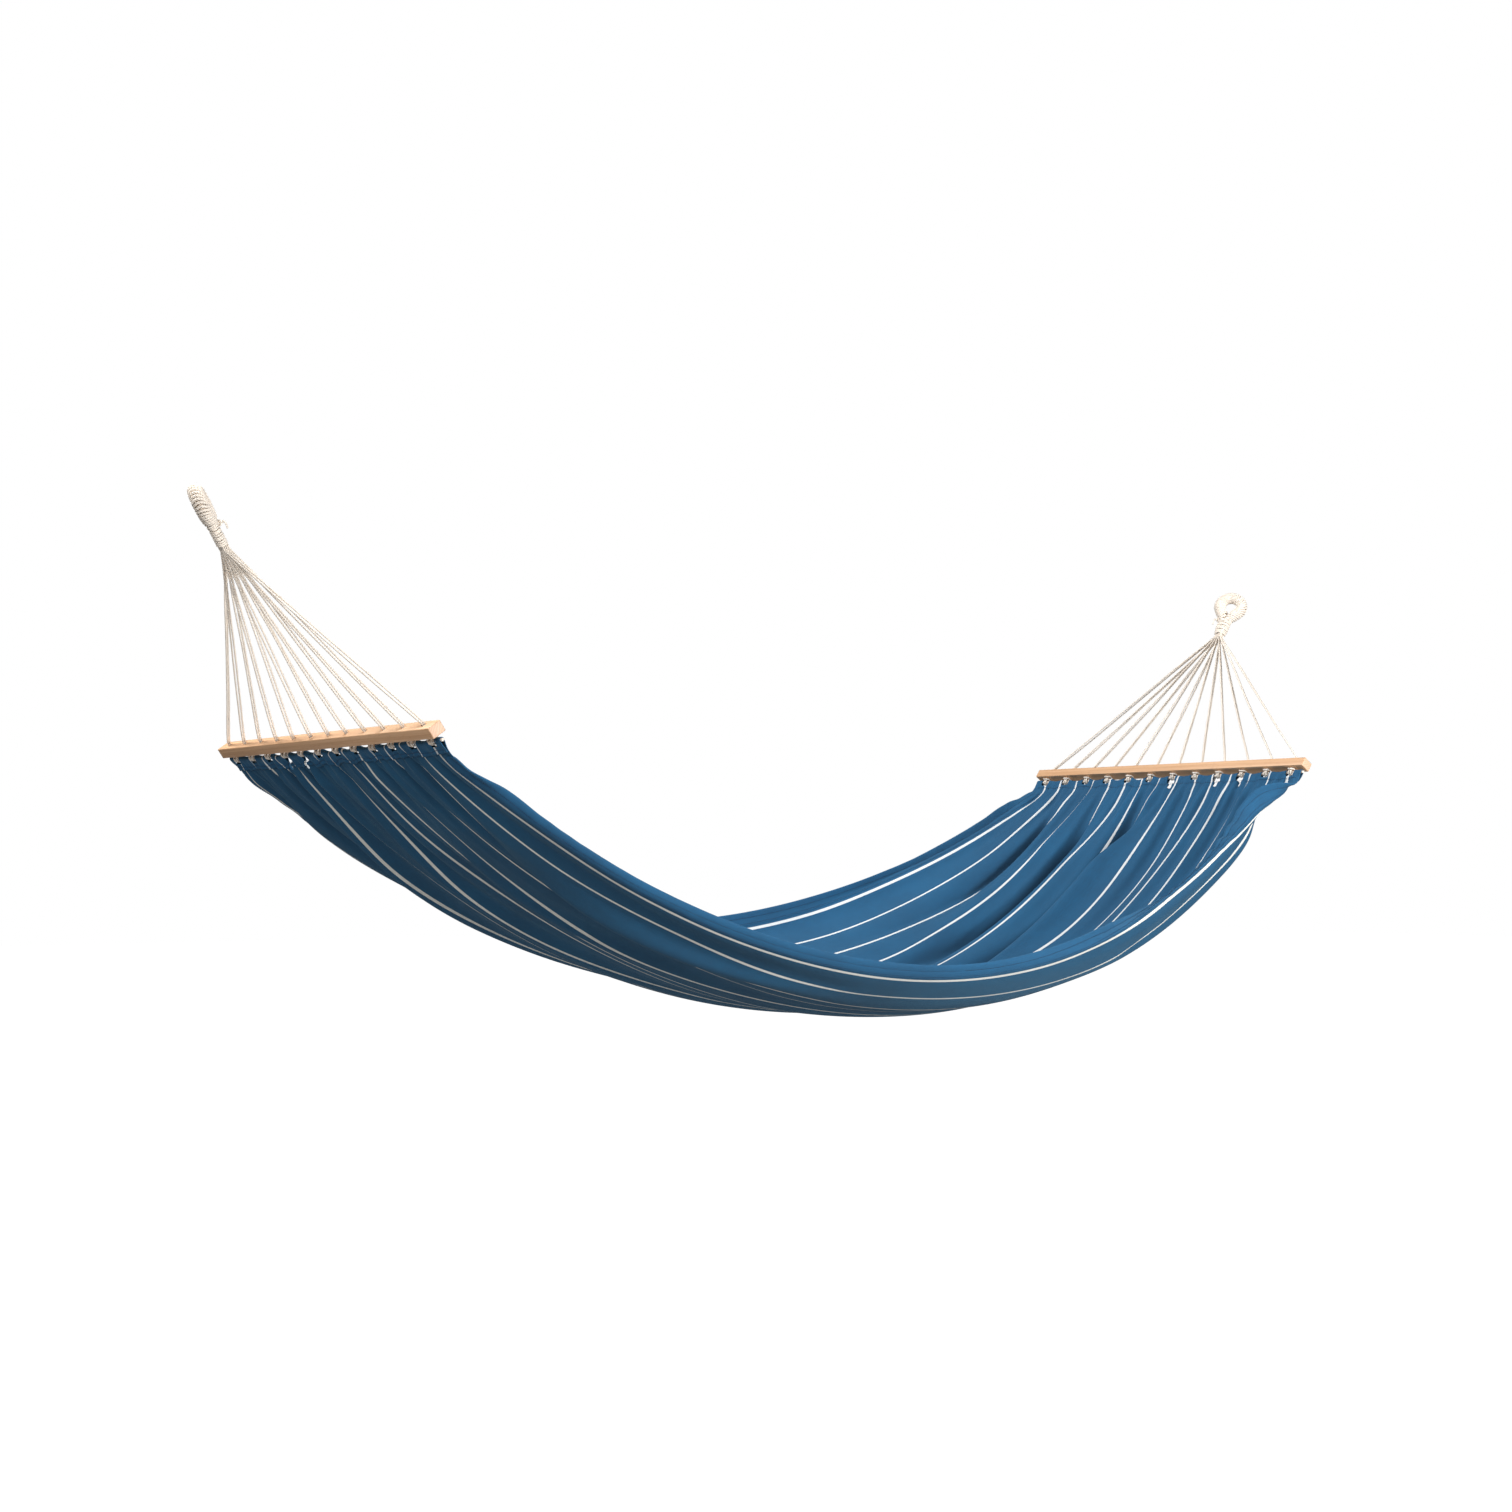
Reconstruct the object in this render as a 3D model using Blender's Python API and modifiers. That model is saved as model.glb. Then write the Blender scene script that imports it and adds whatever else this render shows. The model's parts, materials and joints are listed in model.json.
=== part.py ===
"""Spreader-bar hammock: a woven bed slung between two drilled beech bars, each hung from a corded eye.

Frame: metres, +Z up. X runs along the hammock and Y along the bars. The origin is midway between the two
bars, level with the lowest point of the bed. Each end is built from its own side, -1 or +1 along X.

Motion: everything swings about the hang line, the line along X through the necks of both eyes.
"""
import math

import bmesh
import bpy
from mathutils import Matrix, Vector

OBJECT_NAME = "spreader_bar_hammock"

# spreader bars
BAR_SPACING = 2.06
BAR_HEIGHT = 0.5011
BAR_LENGTH = 0.80
BAR_WIDTH = 0.026
BAR_DEPTH = 0.020
BAR_EDGE = 0.0015
BAR_TILT = math.radians(55)
HOLE_COUNT = 12
HOLE_MARGIN = 0.032
HOLE_RADIUS = 0.0048

# clew cords, each doubled: two strands joined by a turn round the hem cord
STRAND_RADIUS = 0.0018
STRAND_RADIUS_AT_NECK = 0.0014
STRAND_OFFSET = 0.00195
CLEW_LENGTH = 0.37
CLEW_TILT = math.radians(60)
TURN_STEPS = 6

# how the doubled cords are packed where they meet at the neck
NECK_COLUMNS = 6
COLUMN_PITCH = 0.0032
LAYER_PITCH = 0.0066
STRAND_OFFSET_AT_NECK = 0.0016
NECK_BEND = (-0.003, -0.001, 0.001)
NECK_BALL = 0.0116

# hanging eye
EYE_LENGTH = 0.105
EYE_TWIST = math.radians(30)
EYE_START = 0.0125
EYE_RADIUS = 0.0255
EYE_CORE_RADIUS = 0.0092
EYE_LEG_RADIUS = 0.0054
EYE_LEG_OFFSET = 0.0058
EYE_LEG_TOP = 0.034
EYE_STEPS = 6
SEAT_LENGTH = 0.010
SERVING_RADIUS = 0.0017
SERVING_TURNS = 21
SERVING_POINTS = 8
SERVING_GAP = 0.0008
WHIPPING_RADIUS = 0.0015
WHIPPING_TURNS = 5
WHIPPING_POINTS = 12
TAIL_LENGTH = 0.014

# hem cords and end casings
HEM_CORD_RADIUS = 0.003
HEM_CORD_DROP = 0.009
HEM_CORD_LENGTH = 0.80
CASING_RADIUS = 0.0052
CASING_SKIRT = 0.024
CASING_THICKNESS = 0.005
CASING_WIDTH = 0.79
CUT_OUT_WIDTH = 0.018
CUT_OUT_DEPTH = 0.0095

# bed: a trough whose middle line and side edges hang in their own curves
BED_END_INSET = 0.029
BED_END_DROP = 0.040
BED_END_HALF_WIDTH = 0.398
BED_EXTRA_HALF_WIDTH = 0.101
BED_MIDDLE_SAG = (0.616, -0.162)
BED_MIDDLE_SKEW = 0.18
BED_NEAR_SAG = 0.357
BED_FAR_SAG = 0.311
BED_EDGE_SKEW = -0.08
BED_PROFILE_POWER = 2.5
BED_THICKNESS = 0.004
BED_STEPS_ALONG = 24
BED_STEPS_ACROSS = 10
SIDE_HEM_RADIUS = 0.004

GAP = 0.0003

BEECH = (0.68, 0.42, 0.22, 1.0)
COTTON = (0.78, 0.72, 0.60, 1.0)
BLUE_CLOTH = (0.03, 0.12, 0.28, 1.0)


def clear_scene():
    for item in list(bpy.data.objects):
        bpy.data.objects.remove(item, do_unlink=True)


def new_collection(name):
    collection = bpy.data.collections.new(name)
    bpy.context.scene.collection.children.link(collection)
    return collection


def new_material(name, color, roughness):
    material = bpy.data.materials.new(name)
    material.use_nodes = True
    shader = material.node_tree.nodes["Principled BSDF"]
    shader.inputs["Base Color"].default_value = color
    shader.inputs["Roughness"].default_value = roughness
    shader.inputs["Metallic"].default_value = 0.0
    return material


def add_object(name, data, collection, material, frame=None, matrix=None):
    """Make an object, place it, and parent it to the empty that carries its body."""
    item = bpy.data.objects.new(name, data)
    collection.objects.link(item)
    if matrix is not None:
        item.matrix_world = matrix
    if frame is not None:
        item.parent = frame
        item.matrix_parent_inverse = Matrix.Translation(-frame.location)
    data.materials.append(material)
    return item


def body_frame(name, location, collection):
    """An empty on the hang line, which carries one moving body."""
    frame = bpy.data.objects.new(name, None)
    frame.location = location
    frame.empty_display_size = 0.05
    collection.objects.link(frame)
    return frame


class End:
    """Directions and reference points of one end: along = up the clew, across = over it."""

    def __init__(self, side):
        self.side = side
        self.name = "left" if side < 0 else "right"
        self.bar_centre = Vector((side * BAR_SPACING / 2, 0, BAR_HEIGHT))
        self.bar_along = Vector((side * math.cos(BAR_TILT), 0, math.sin(BAR_TILT)))
        self.bar_across = Vector((-side * math.sin(BAR_TILT), 0, math.cos(BAR_TILT)))
        self.clew_along = Vector((side * math.cos(CLEW_TILT), 0, math.sin(CLEW_TILT)))
        self.clew_across = Vector((-side * math.sin(CLEW_TILT), 0, math.cos(CLEW_TILT)))
        self.neck = self.bar_centre + self.clew_along * CLEW_LENGTH
        bar = Vector((0, 1, 0))
        self.eye_side = bar * math.cos(EYE_TWIST) + self.clew_across * math.sin(EYE_TWIST)
        self.eye_across = self.clew_across * math.cos(EYE_TWIST) - bar * math.sin(EYE_TWIST)
        self.hem_drop = BAR_DEPTH / 2 + HEM_CORD_DROP

    def at_bar(self, along, y, across):
        return self.bar_centre + self.bar_along * along + self.bar_across * across + Vector((0, y, 0))

    def at_neck(self, along, y, across):
        return self.neck + self.clew_along * along + self.clew_across * across + Vector((0, y, 0))

    def at_eye(self, along, sideways, across):
        """A point of the eye, whose plane is turned about the clew's axis."""
        return self.neck + self.clew_along * along + self.eye_side * sideways + self.eye_across * across

    def bar_matrix(self, along, extruded=False):
        """Local X is up the hole axis; local Z is along the bar when extruded, else Y is."""
        bar = Vector((0, 1, 0))
        first = self.bar_along
        second, third = (bar.cross(first), bar) if extruded else (bar, first.cross(bar))
        turn = Matrix((first, second, third)).transposed().to_4x4()
        return Matrix.Translation(self.at_bar(along, 0, 0)) @ turn


def hole_positions():
    span = BAR_LENGTH - 2 * HOLE_MARGIN
    return [-span / 2 + span * i / (HOLE_COUNT - 1) for i in range(HOLE_COUNT)]


def tube(name, points, radii, collection, material, frame, resolution=1):
    """A cord along a polyline, with a radius at each point and filled caps."""
    curve = bpy.data.curves.new(name, "CURVE")
    curve.dimensions = "3D"
    curve.bevel_depth = 1.0
    curve.bevel_resolution = resolution
    curve.use_fill_caps = True
    spline = curve.splines.new("POLY")
    spline.points.add(len(points) - 1)
    for point, place, radius in zip(spline.points, points, radii):
        point.co = (*place, 1.0)
        point.radius = radius
    return add_object(name, curve, collection, material, frame)


def curve_to_mesh(item):
    """Replace a curve object with its closed mesh, so that a Boolean can cut it."""
    name = item.name
    evaluated = item.evaluated_get(bpy.context.evaluated_depsgraph_get())
    mesh = bpy.data.meshes.new_from_object(evaluated)
    bm = bmesh.new()
    bm.from_mesh(mesh)
    bmesh.ops.remove_doubles(bm, verts=bm.verts, dist=0.00001)
    bm.to_mesh(mesh)
    bm.free()
    place, frame, collection = item.matrix_world.copy(), item.parent, item.users_collection[0]
    bpy.data.objects.remove(item, do_unlink=True)
    solid = bpy.data.objects.new(name, mesh)
    collection.objects.link(solid)
    solid.parent = frame
    solid.matrix_parent_inverse = Matrix.Translation(-frame.location)
    solid.matrix_world = place
    return solid


def cut(item, cutter):
    modifier = item.modifiers.new("cut", "BOOLEAN")
    modifier.operation = "DIFFERENCE"
    modifier.solver = "EXACT"
    modifier.object = cutter


def hide_cutter(cutter):
    cutter.hide_render = True
    cutter.display_type = "WIRE"


def hole_cutter(end, cutters, material):
    """Twelve cylinders along the hole axis, one at each cord."""
    mesh = bpy.data.meshes.new(f"{end.name}_hole_cutter")
    bm = bmesh.new()
    upright = Matrix.Rotation(math.pi / 2, 4, "Y")
    for y in hole_positions():
        bmesh.ops.create_cone(
            bm, cap_ends=True, segments=12, radius1=HOLE_RADIUS, radius2=HOLE_RADIUS,
            depth=2 * BAR_DEPTH, matrix=Matrix.Translation((0, y, 0)) @ upright)
    bm.to_mesh(mesh)
    bm.free()
    cutter = add_object(mesh.name, mesh, cutters, material, matrix=end.bar_matrix(0))
    hide_cutter(cutter)
    return cutter


def spreader_bar(end, parts, cutters, material, frame):
    mesh = bpy.data.meshes.new(f"{end.name}_spreader_bar")
    bm = bmesh.new()
    size = Matrix.Diagonal((BAR_DEPTH, BAR_LENGTH, BAR_WIDTH, 1))
    bmesh.ops.create_cube(bm, size=1.0, matrix=size)
    bm.to_mesh(mesh)
    bm.free()
    bar = add_object(mesh.name, mesh, parts, material, frame, end.bar_matrix(0))
    bevel = bar.modifiers.new("eased edges", "BEVEL")
    bevel.width = BAR_EDGE
    bevel.segments = 1
    cut(bar, hole_cutter(end, cutters, material))


def neck_place(index):
    """Column, layer sign and bend height of one doubled cord where it reaches the neck."""
    column = index // 2 - (NECK_COLUMNS - 1) / 2
    layer = -1 if index % 2 == 0 else 1
    bend = NECK_BEND[int(abs(column))]
    return column * COLUMN_PITCH, layer * LAYER_PITCH / 2, bend


def strand_top(y, across, bend):
    """Height of a strand's end, on a ball round the neck that keeps clear of the eye as it swings."""
    reach_y = abs(y) + STRAND_RADIUS_AT_NECK
    reach_across = abs(across) + STRAND_RADIUS_AT_NECK
    inside = NECK_BALL ** 2 - reach_y ** 2 - reach_across ** 2
    return max(math.sqrt(max(inside, 0)), bend + 0.0007)


def strand(end, index, y, sign):
    """Points and radii of one strand, from the neck down to the start of its turn."""
    neck_y, layer, bend = neck_place(index)
    neck_across = layer + sign * STRAND_OFFSET_AT_NECK
    above = BAR_DEPTH / 2 + 0.004
    points = [
        end.at_neck(strand_top(neck_y, neck_across, bend), neck_y, neck_across),
        end.at_neck(bend, neck_y, neck_across),
        end.at_bar(above, y, sign * STRAND_OFFSET),
        end.at_bar(-BAR_DEPTH / 2, y, sign * STRAND_OFFSET),
    ]
    radii = [STRAND_RADIUS_AT_NECK, STRAND_RADIUS_AT_NECK, STRAND_RADIUS, STRAND_RADIUS]
    return points, radii


def clew_cord(end, index, y, parts, material, frame):
    """One doubled cord: down through the bar, round the hem cord, and back up beside itself."""
    down, down_radii = strand(end, index, y, 1)
    up, up_radii = strand(end, index, y, -1)
    turn_radius = HEM_CORD_RADIUS + GAP + STRAND_RADIUS + 0.0002
    turn = []
    for step in range(TURN_STEPS + 1):
        angle = math.pi * step / TURN_STEPS
        along = -end.hem_drop - turn_radius * math.sin(angle)
        turn.append(end.at_bar(along, y, turn_radius * math.cos(angle)))
    points = down + turn + up[::-1]
    radii = down_radii + [STRAND_RADIUS] * len(turn) + up_radii[::-1]
    tube(f"{end.name}_cord_{index + 1:02d}", points, radii, parts, material, frame)


def hem_cord(end, parts, material, frame):
    half = HEM_CORD_LENGTH / 2
    points = [end.at_bar(-end.hem_drop, y, 0) for y in (-half, half)]
    tube(f"{end.name}_hem_cord", points, [HEM_CORD_RADIUS] * 2, parts, material, frame, resolution=2)


def add_outline(curve, corners):
    spline = curve.splines.new("POLY")
    spline.points.add(len(corners) - 1)
    for point, (x, y) in zip(spline.points, corners):
        point.co = (x, y, 0.0, 1.0)
    spline.use_cyclic_u = True


def arc(radius, start, stop, steps):
    angles = [start + (stop - start) * i / steps for i in range(steps + 1)]
    return [(radius * math.cos(a), radius * math.sin(a)) for a in angles]


def cut_out_cutter(end, cutters, material):
    """Boxes that open the casing at each clew cord."""
    mesh = bpy.data.meshes.new(f"{end.name}_cut_out_cutter")
    bm = bmesh.new()
    low, high = -CUT_OUT_DEPTH, 2 * CASING_RADIUS
    size = Matrix.Diagonal((high - low, CUT_OUT_WIDTH, 4 * CASING_RADIUS, 1))
    for y in hole_positions():
        place = Matrix.Translation(((low + high) / 2, y, 0))
        bmesh.ops.create_cube(bm, size=1.0, matrix=place @ size)
    bm.to_mesh(mesh)
    bm.free()
    cutter = add_object(mesh.name, mesh, cutters, material, matrix=end.bar_matrix(-end.hem_drop))
    hide_cutter(cutter)
    return cutter


def end_casing(end, parts, cutters, material, frame):
    """The doubled end of the cloth: a bore for the hem cord over a flat skirt, notched at each cord."""
    curve = bpy.data.curves.new(f"{end.name}_end_casing", "CURVE")
    curve.dimensions = "2D"
    curve.fill_mode = "BOTH"
    curve.extrude = CASING_WIDTH / 2
    half = CASING_THICKNESS / 2
    shoulder = math.pi - math.asin(half / CASING_RADIUS)
    skirt = [(-CASING_SKIRT, half), (-CASING_SKIRT, -half)]
    add_outline(curve, skirt + arc(CASING_RADIUS, -shoulder, shoulder, 8))
    bore = (HEM_CORD_RADIUS + GAP) / math.cos(math.pi / 8)
    add_outline(curve, arc(bore, 0, 2 * math.pi, 8)[:-1])
    place = end.bar_matrix(-end.hem_drop, extruded=True)
    outline = add_object(curve.name, curve, parts, material, frame, place)
    casing = curve_to_mesh(outline)
    cut(casing, cut_out_cutter(end, cutters, material))


def eye_path():
    """Centre line of the eye as (along, y) pairs: up one leg, round the top and down the other."""
    top_centre = EYE_LENGTH - EYE_CORE_RADIUS - EYE_RADIUS
    half = [(EYE_START, EYE_LEG_OFFSET), (EYE_LEG_TOP, EYE_LEG_OFFSET)]
    for step in range(1, EYE_STEPS + 1):
        share = step / EYE_STEPS
        ease = share * share * (3 - 2 * share)
        along = EYE_LEG_TOP + (top_centre - EYE_LEG_TOP) * share
        half.append((along, EYE_LEG_OFFSET + (EYE_RADIUS - EYE_LEG_OFFSET) * ease))
    for step in range(1, EYE_STEPS):
        angle = math.pi / 2 * step / EYE_STEPS
        half.append((top_centre + EYE_RADIUS * math.sin(angle), EYE_RADIUS * math.cos(angle)))
    crown = [(top_centre + EYE_RADIUS, SEAT_LENGTH / 2)]
    right = half + crown
    return right + [(along, -y) for along, y in reversed(right)]


def eye_radius(along):
    """The bundle is squeezed at the legs and full round the opening."""
    share = min(max((along - EYE_LEG_TOP) / 0.016, 0), 1)
    return EYE_LEG_RADIUS + (EYE_CORE_RADIUS - EYE_LEG_RADIUS) * share


def eye_core(end, parts, material, frame):
    path = eye_path()
    points = [end.at_eye(along, y, 0) for along, y in path]
    radii = [eye_radius(along) for along, y in path]
    tube(f"{end.name}_eye_core", points, radii, parts, material, frame, resolution=2)


def point_along(path, distance):
    """Place at a distance along a flat path."""
    for (a0, y0), (a1, y1) in zip(path, path[1:]):
        length = math.hypot(a1 - a0, y1 - y0)
        if distance <= length:
            share = distance / length
            return a0 + (a1 - a0) * share, y0 + (y1 - y0) * share
        distance -= length
    return path[-1]


def direction_along(path, distance, reach=0.003):
    """Smoothed direction of a flat path."""
    (a0, y0), (a1, y1) = point_along(path, distance - reach), point_along(path, distance + reach)
    length = math.hypot(a1 - a0, y1 - y0)
    return (a1 - a0) / length, (y1 - y0) / length


def path_length(path):
    return sum(math.hypot(a1 - a0, y1 - y0) for (a0, y0), (a1, y1) in zip(path, path[1:]))


def eye_serving(end, parts, material, frame):
    """A cord wound round the eye from one leg's shoulder to the other's."""
    path = eye_path()
    start = EYE_LEG_TOP - EYE_START + 0.006
    length = path_length(path) - 2 * start
    count = SERVING_TURNS * SERVING_POINTS
    polygon_growth = 1 / math.cos(math.pi / SERVING_POINTS)
    points = []
    for i in range(count + 1):
        distance = start + length * i / count
        along, y = point_along(path, distance)
        step_along, step_y = direction_along(path, distance)
        angle = 2 * math.pi * i / SERVING_POINTS
        reach = (eye_radius(along) + SERVING_RADIUS + SERVING_GAP) * polygon_growth
        sideways = reach * math.cos(angle)
        points.append(end.at_eye(along - step_y * sideways, y + step_along * sideways, reach * math.sin(angle)))
    radii = [SERVING_RADIUS] * len(points)
    tube(f"{end.name}_eye_serving", points, radii, parts, material, frame, resolution=0)


def neck_whipping(end, parts, material, frame):
    """Turns of cord round both legs of the eye, ending in a short tail."""
    reach = EYE_LEG_RADIUS + WHIPPING_RADIUS + 0.0012
    pitch = 2 * WHIPPING_RADIUS + 0.0006
    start = EYE_START + WHIPPING_RADIUS + 0.0008
    points = []
    for i in range(WHIPPING_TURNS * WHIPPING_POINTS + 1):
        angle = 2 * math.pi * (i + 0.5) / WHIPPING_POINTS
        along = start + pitch * i / WHIPPING_POINTS
        y = math.copysign(EYE_LEG_OFFSET, math.cos(angle)) + reach * math.cos(angle)
        points.append(end.at_eye(along, y, reach * math.sin(angle)))
    last_side = (points[-1] - end.neck).dot(end.eye_side)
    tail_along = start + pitch * WHIPPING_TURNS
    points.append(end.at_eye(tail_along - TAIL_LENGTH / 3, last_side + TAIL_LENGTH / 2, reach / 2))
    points.append(end.at_eye(tail_along - TAIL_LENGTH, last_side + TAIL_LENGTH / 2, reach / 2))
    radii = [WHIPPING_RADIUS] * len(points)
    tube(f"{end.name}_neck_whipping", points, radii, parts, material, frame, resolution=0)


def bed_point(u, v):
    """Bed surface at u along (-1 left, +1 right) and v across (-1 near, +1 far)."""
    fall = 1 - u * u
    middle = (BED_MIDDLE_SAG[0] * fall + BED_MIDDLE_SAG[1] * fall * fall) * (1 + BED_MIDDLE_SKEW * u)
    edge = (BED_NEAR_SAG if v < 0 else BED_FAR_SAG) * fall * (1 + BED_EDGE_SKEW * u)
    sag = middle + (edge - middle) * abs(v) ** BED_PROFILE_POWER
    half_width = BED_END_HALF_WIDTH + BED_EXTRA_HALF_WIDTH * fall
    height = BAR_HEIGHT - BED_END_DROP - sag
    return Vector((u * (BAR_SPACING / 2 - BED_END_INSET), v * half_width, height))


def fabric_bed(parts, material, frame):
    mesh = bpy.data.meshes.new("fabric_bed")
    bm = bmesh.new()
    bmesh.ops.create_grid(bm, x_segments=BED_STEPS_ALONG, y_segments=BED_STEPS_ACROSS, size=1.0)
    for vert in bm.verts:
        vert.co = bed_point(vert.co.x, vert.co.y)
    bm.to_mesh(mesh)
    bm.free()
    bed = add_object(mesh.name, mesh, parts, material, frame)
    solid = bed.modifiers.new("cloth", "SOLIDIFY")
    solid.thickness = BED_THICKNESS
    solid.offset = 0.0


def side_hem(name, v, parts, material, frame):
    """A rolled hem just outside one side edge of the bed."""
    clear = SIDE_HEM_RADIUS + 2 * GAP
    points = []
    for step in range(BED_STEPS_ALONG + 1):
        u = -1 + 2 * step / BED_STEPS_ALONG
        edge = bed_point(u, v)
        outward = (edge - bed_point(u, v * 0.98)).normalized()
        points.append(edge + outward * clear)
    radii = [SIDE_HEM_RADIUS] * len(points)
    tube(name, points, radii, parts, material, frame)


def main():
    clear_scene()
    parts = new_collection(OBJECT_NAME)
    cutters = new_collection("cutters")
    beech = new_material("beech", BEECH, 0.5)
    cotton = new_material("cotton_cord", COTTON, 0.9)
    cloth = new_material("blue_cloth", BLUE_CLOTH, 0.9)
    for side in (-1, 1):
        end = End(side)
        eye_frame = body_frame(f"{end.name}_eye_frame", end.neck, parts)
        clew_frame = body_frame(f"{end.name}_clew_frame", end.neck, parts)
        eye_core(end, parts, cotton, eye_frame)
        eye_serving(end, parts, cotton, eye_frame)
        neck_whipping(end, parts, cotton, eye_frame)
        spreader_bar(end, parts, cutters, beech, clew_frame)
        for index, y in enumerate(hole_positions()):
            clew_cord(end, index, y, parts, cotton, clew_frame)
        hem_cord(end, parts, cotton, clew_frame)
        end_casing(end, parts, cutters, cloth, clew_frame)
    bed_frame = body_frame("bed_frame", (0, 0, End(1).neck.z), parts)
    fabric_bed(parts, cloth, bed_frame)
    side_hem("near_side_hem", -1, parts, cloth, bed_frame)
    side_hem("far_side_hem", 1, parts, cloth, bed_frame)


main()
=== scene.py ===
"""Looks of the spreader-bar hammock: twisted cotton cords, beech bars and a gathered, striped canvas bed.

Frame: metres, +Z up, X along the hammock, Y along the bars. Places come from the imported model: the bars,
hem cords, cords and necks are found from their nodes and joints, and the canvas hangs as its CAD bed does.
"""
import json
import math
from contextlib import contextmanager

import bmesh
import bpy
import numpy as np
from mathutils import Matrix, Vector


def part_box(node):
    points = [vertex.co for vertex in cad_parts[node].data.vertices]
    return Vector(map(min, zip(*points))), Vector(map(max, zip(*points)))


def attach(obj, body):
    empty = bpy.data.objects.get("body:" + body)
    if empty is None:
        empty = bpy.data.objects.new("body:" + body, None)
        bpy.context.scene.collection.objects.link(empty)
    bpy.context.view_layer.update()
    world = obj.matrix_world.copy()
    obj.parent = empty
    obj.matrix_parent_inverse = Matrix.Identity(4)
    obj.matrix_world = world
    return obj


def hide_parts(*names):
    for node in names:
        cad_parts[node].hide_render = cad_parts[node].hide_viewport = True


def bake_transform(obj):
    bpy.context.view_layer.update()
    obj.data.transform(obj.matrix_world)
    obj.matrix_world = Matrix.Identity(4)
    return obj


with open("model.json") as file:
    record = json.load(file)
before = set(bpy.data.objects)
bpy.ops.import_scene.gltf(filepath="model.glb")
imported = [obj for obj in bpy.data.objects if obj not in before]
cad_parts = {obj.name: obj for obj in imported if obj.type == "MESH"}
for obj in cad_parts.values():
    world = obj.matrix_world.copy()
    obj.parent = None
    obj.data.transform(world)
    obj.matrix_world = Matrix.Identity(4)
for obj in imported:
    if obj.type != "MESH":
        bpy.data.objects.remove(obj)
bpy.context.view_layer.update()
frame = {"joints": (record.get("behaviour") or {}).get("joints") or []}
TURN = 2 * math.pi

# camera: where the picture is taken from
CAMERA_PLACE = (-2.745, -3.533, 0.289)
CAMERA_YAW = math.radians(36.69)
CAMERA_PITCH = math.radians(2.76)
CAMERA_LENS = 54.2
CAMERA_SENSOR = 36.0

# cords
CORD_COUNT = 12
CORD_RADIUS = 0.0018
CORD_RADIUS_AT_NECK = 0.0015
CORD_LAY = 0.015
ROPE_STEP = 0.002
PAIR_OFFSET = 0.00195
PAIR_OFFSET_AT_NECK = 0.0016
NECK_COLUMNS = 6
NECK_COLUMN_PITCH = 0.0032
NECK_LAYER_PITCH = 0.0066
HITCH_RADIUS = 0.0062
CORD_TOP = 0.018
NECK_TOP = 0.004
FAN_START = -0.012
CORD_BEND = -0.035
CORD_BOW = 0.0011
HEM_CORD_RADIUS = 0.003
HEM_CORD_LAY = 0.020
# how far the load draws the hem cord down in each bay between its hitches, and how fast the cloth evens it out
HEM_SAGS = {"left": (0.0045, 0.0030, 0.0050, 0.0065, 0.0075, 0.0085, 0.0080, 0.0060, 0.0070, 0.0045, 0.0035),
            "right": (0.0035, 0.0060, 0.0050, 0.0055, 0.0045, 0.0065, 0.0095, 0.0080, 0.0050, 0.0055, 0.0035)}
SAG_FADE = 0.06

# eye
EYE_TWIST = math.radians(30)
EYE_START = 0.010
EYE_LEG_TOP = 0.034
EYE_TOP = 0.0958
EYE_LEG_RADIUS = 0.0056
EYE_LEG_OFFSET = 0.0058
EYE_LOOP_RADIUS = 0.0255
EYE_CORE_RADIUS = 0.0082
EYE_STEP = 0.0015
SERVING_RADIUS = 0.0026
SERVING_PITCH = 0.0047
SERVING_SLANT = 0.0055
WHIPPING_RADIUS = 0.0018
WHIPPING_TURNS = 10
WHIPPING_START = -0.004
KNOT_TAIL = ((0.0065, 0.001), (0.0085, -0.006), (0.0075, -0.014))

# spreader bars, which lie along Y
BAR_LINE = Vector((0, 1, 0))
BAR_WIDTH = 0.026
BAR_DEPTH = 0.020
BAR_EDGE = 0.0016
HOLE_RADIUS = 0.0045
HOLE_CHAMFER = 0.0009

# how the bed hangs, as the CAD bed does: u runs -1..1 along, v runs -1..1 across from the near edge
BED_END_INSET = 0.029
BED_END_DROP = 0.040
BED_END_HALF_WIDTH = 0.396
BED_EXTRA_HALF_WIDTH = 0.103
BED_MIDDLE_SAG = (0.616, -0.162)
BED_MIDDLE_SKEW = 0.18
BED_NEAR_SAG = 0.366
BED_FAR_SAG = 0.311
BED_EDGE_SKEW = -0.08
BED_NEAR_POWER = 3.6
BED_FAR_POWER = 2.5
BED_LIFT = 0.004

# canvas: its flat width, and how columns of cloth are shared between cut-outs and tabs
CLOTH_WIDTH = 1.05
CLOTH_THICKNESS = 0.0011
CUT_OUT_WIDTH = 0.021
CUT_OUT_CELLS = 3
CUT_OUT_CLOTH = 0.021
TAB_CELLS = 10
EDGE_CELLS = 3
EDGE_CLOTH = 0.021
BED_ROWS = 66
HALF_LENGTH = 1.135
WRAP_RADIUS = 0.0042
WRAP_STEPS = 6
FLAP_LENGTH = 0.024
SLOT_DEPTH = 0.011
BED_START = 0.008
DEEP_CUT_OUTS = {"left": (7, 8), "right": (2, 3, 5)}

# side hems and stitching
HEM_WIDTH = 0.028
HEM_STITCH_LINES = (0.0115, 0.0245)
STITCH_SPACING = 0.0042
STITCH_LENGTH = 0.0034
STITCH_WIDTH = 0.0011

# stripes and weave, how far the painted shade in the cloth's hollows reaches and how dark it is, and how much
# darker its dull threads are
STRIPE_MARGIN = 0.036
STRIPE_SPACING = (CLOTH_WIDTH - 2 * STRIPE_MARGIN) / 14
THICK_STRIPE = 0.0058
THIN_STRIPE = 0.0046
STRIPE_BLUR = 0.0003
WEAVE_PITCH = 0.0009
PAINTED_SHADE_REACH = 0.09
PAINTED_SHADE_SHARE = 0.45
DULL_STRIPE = 0.86

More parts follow.
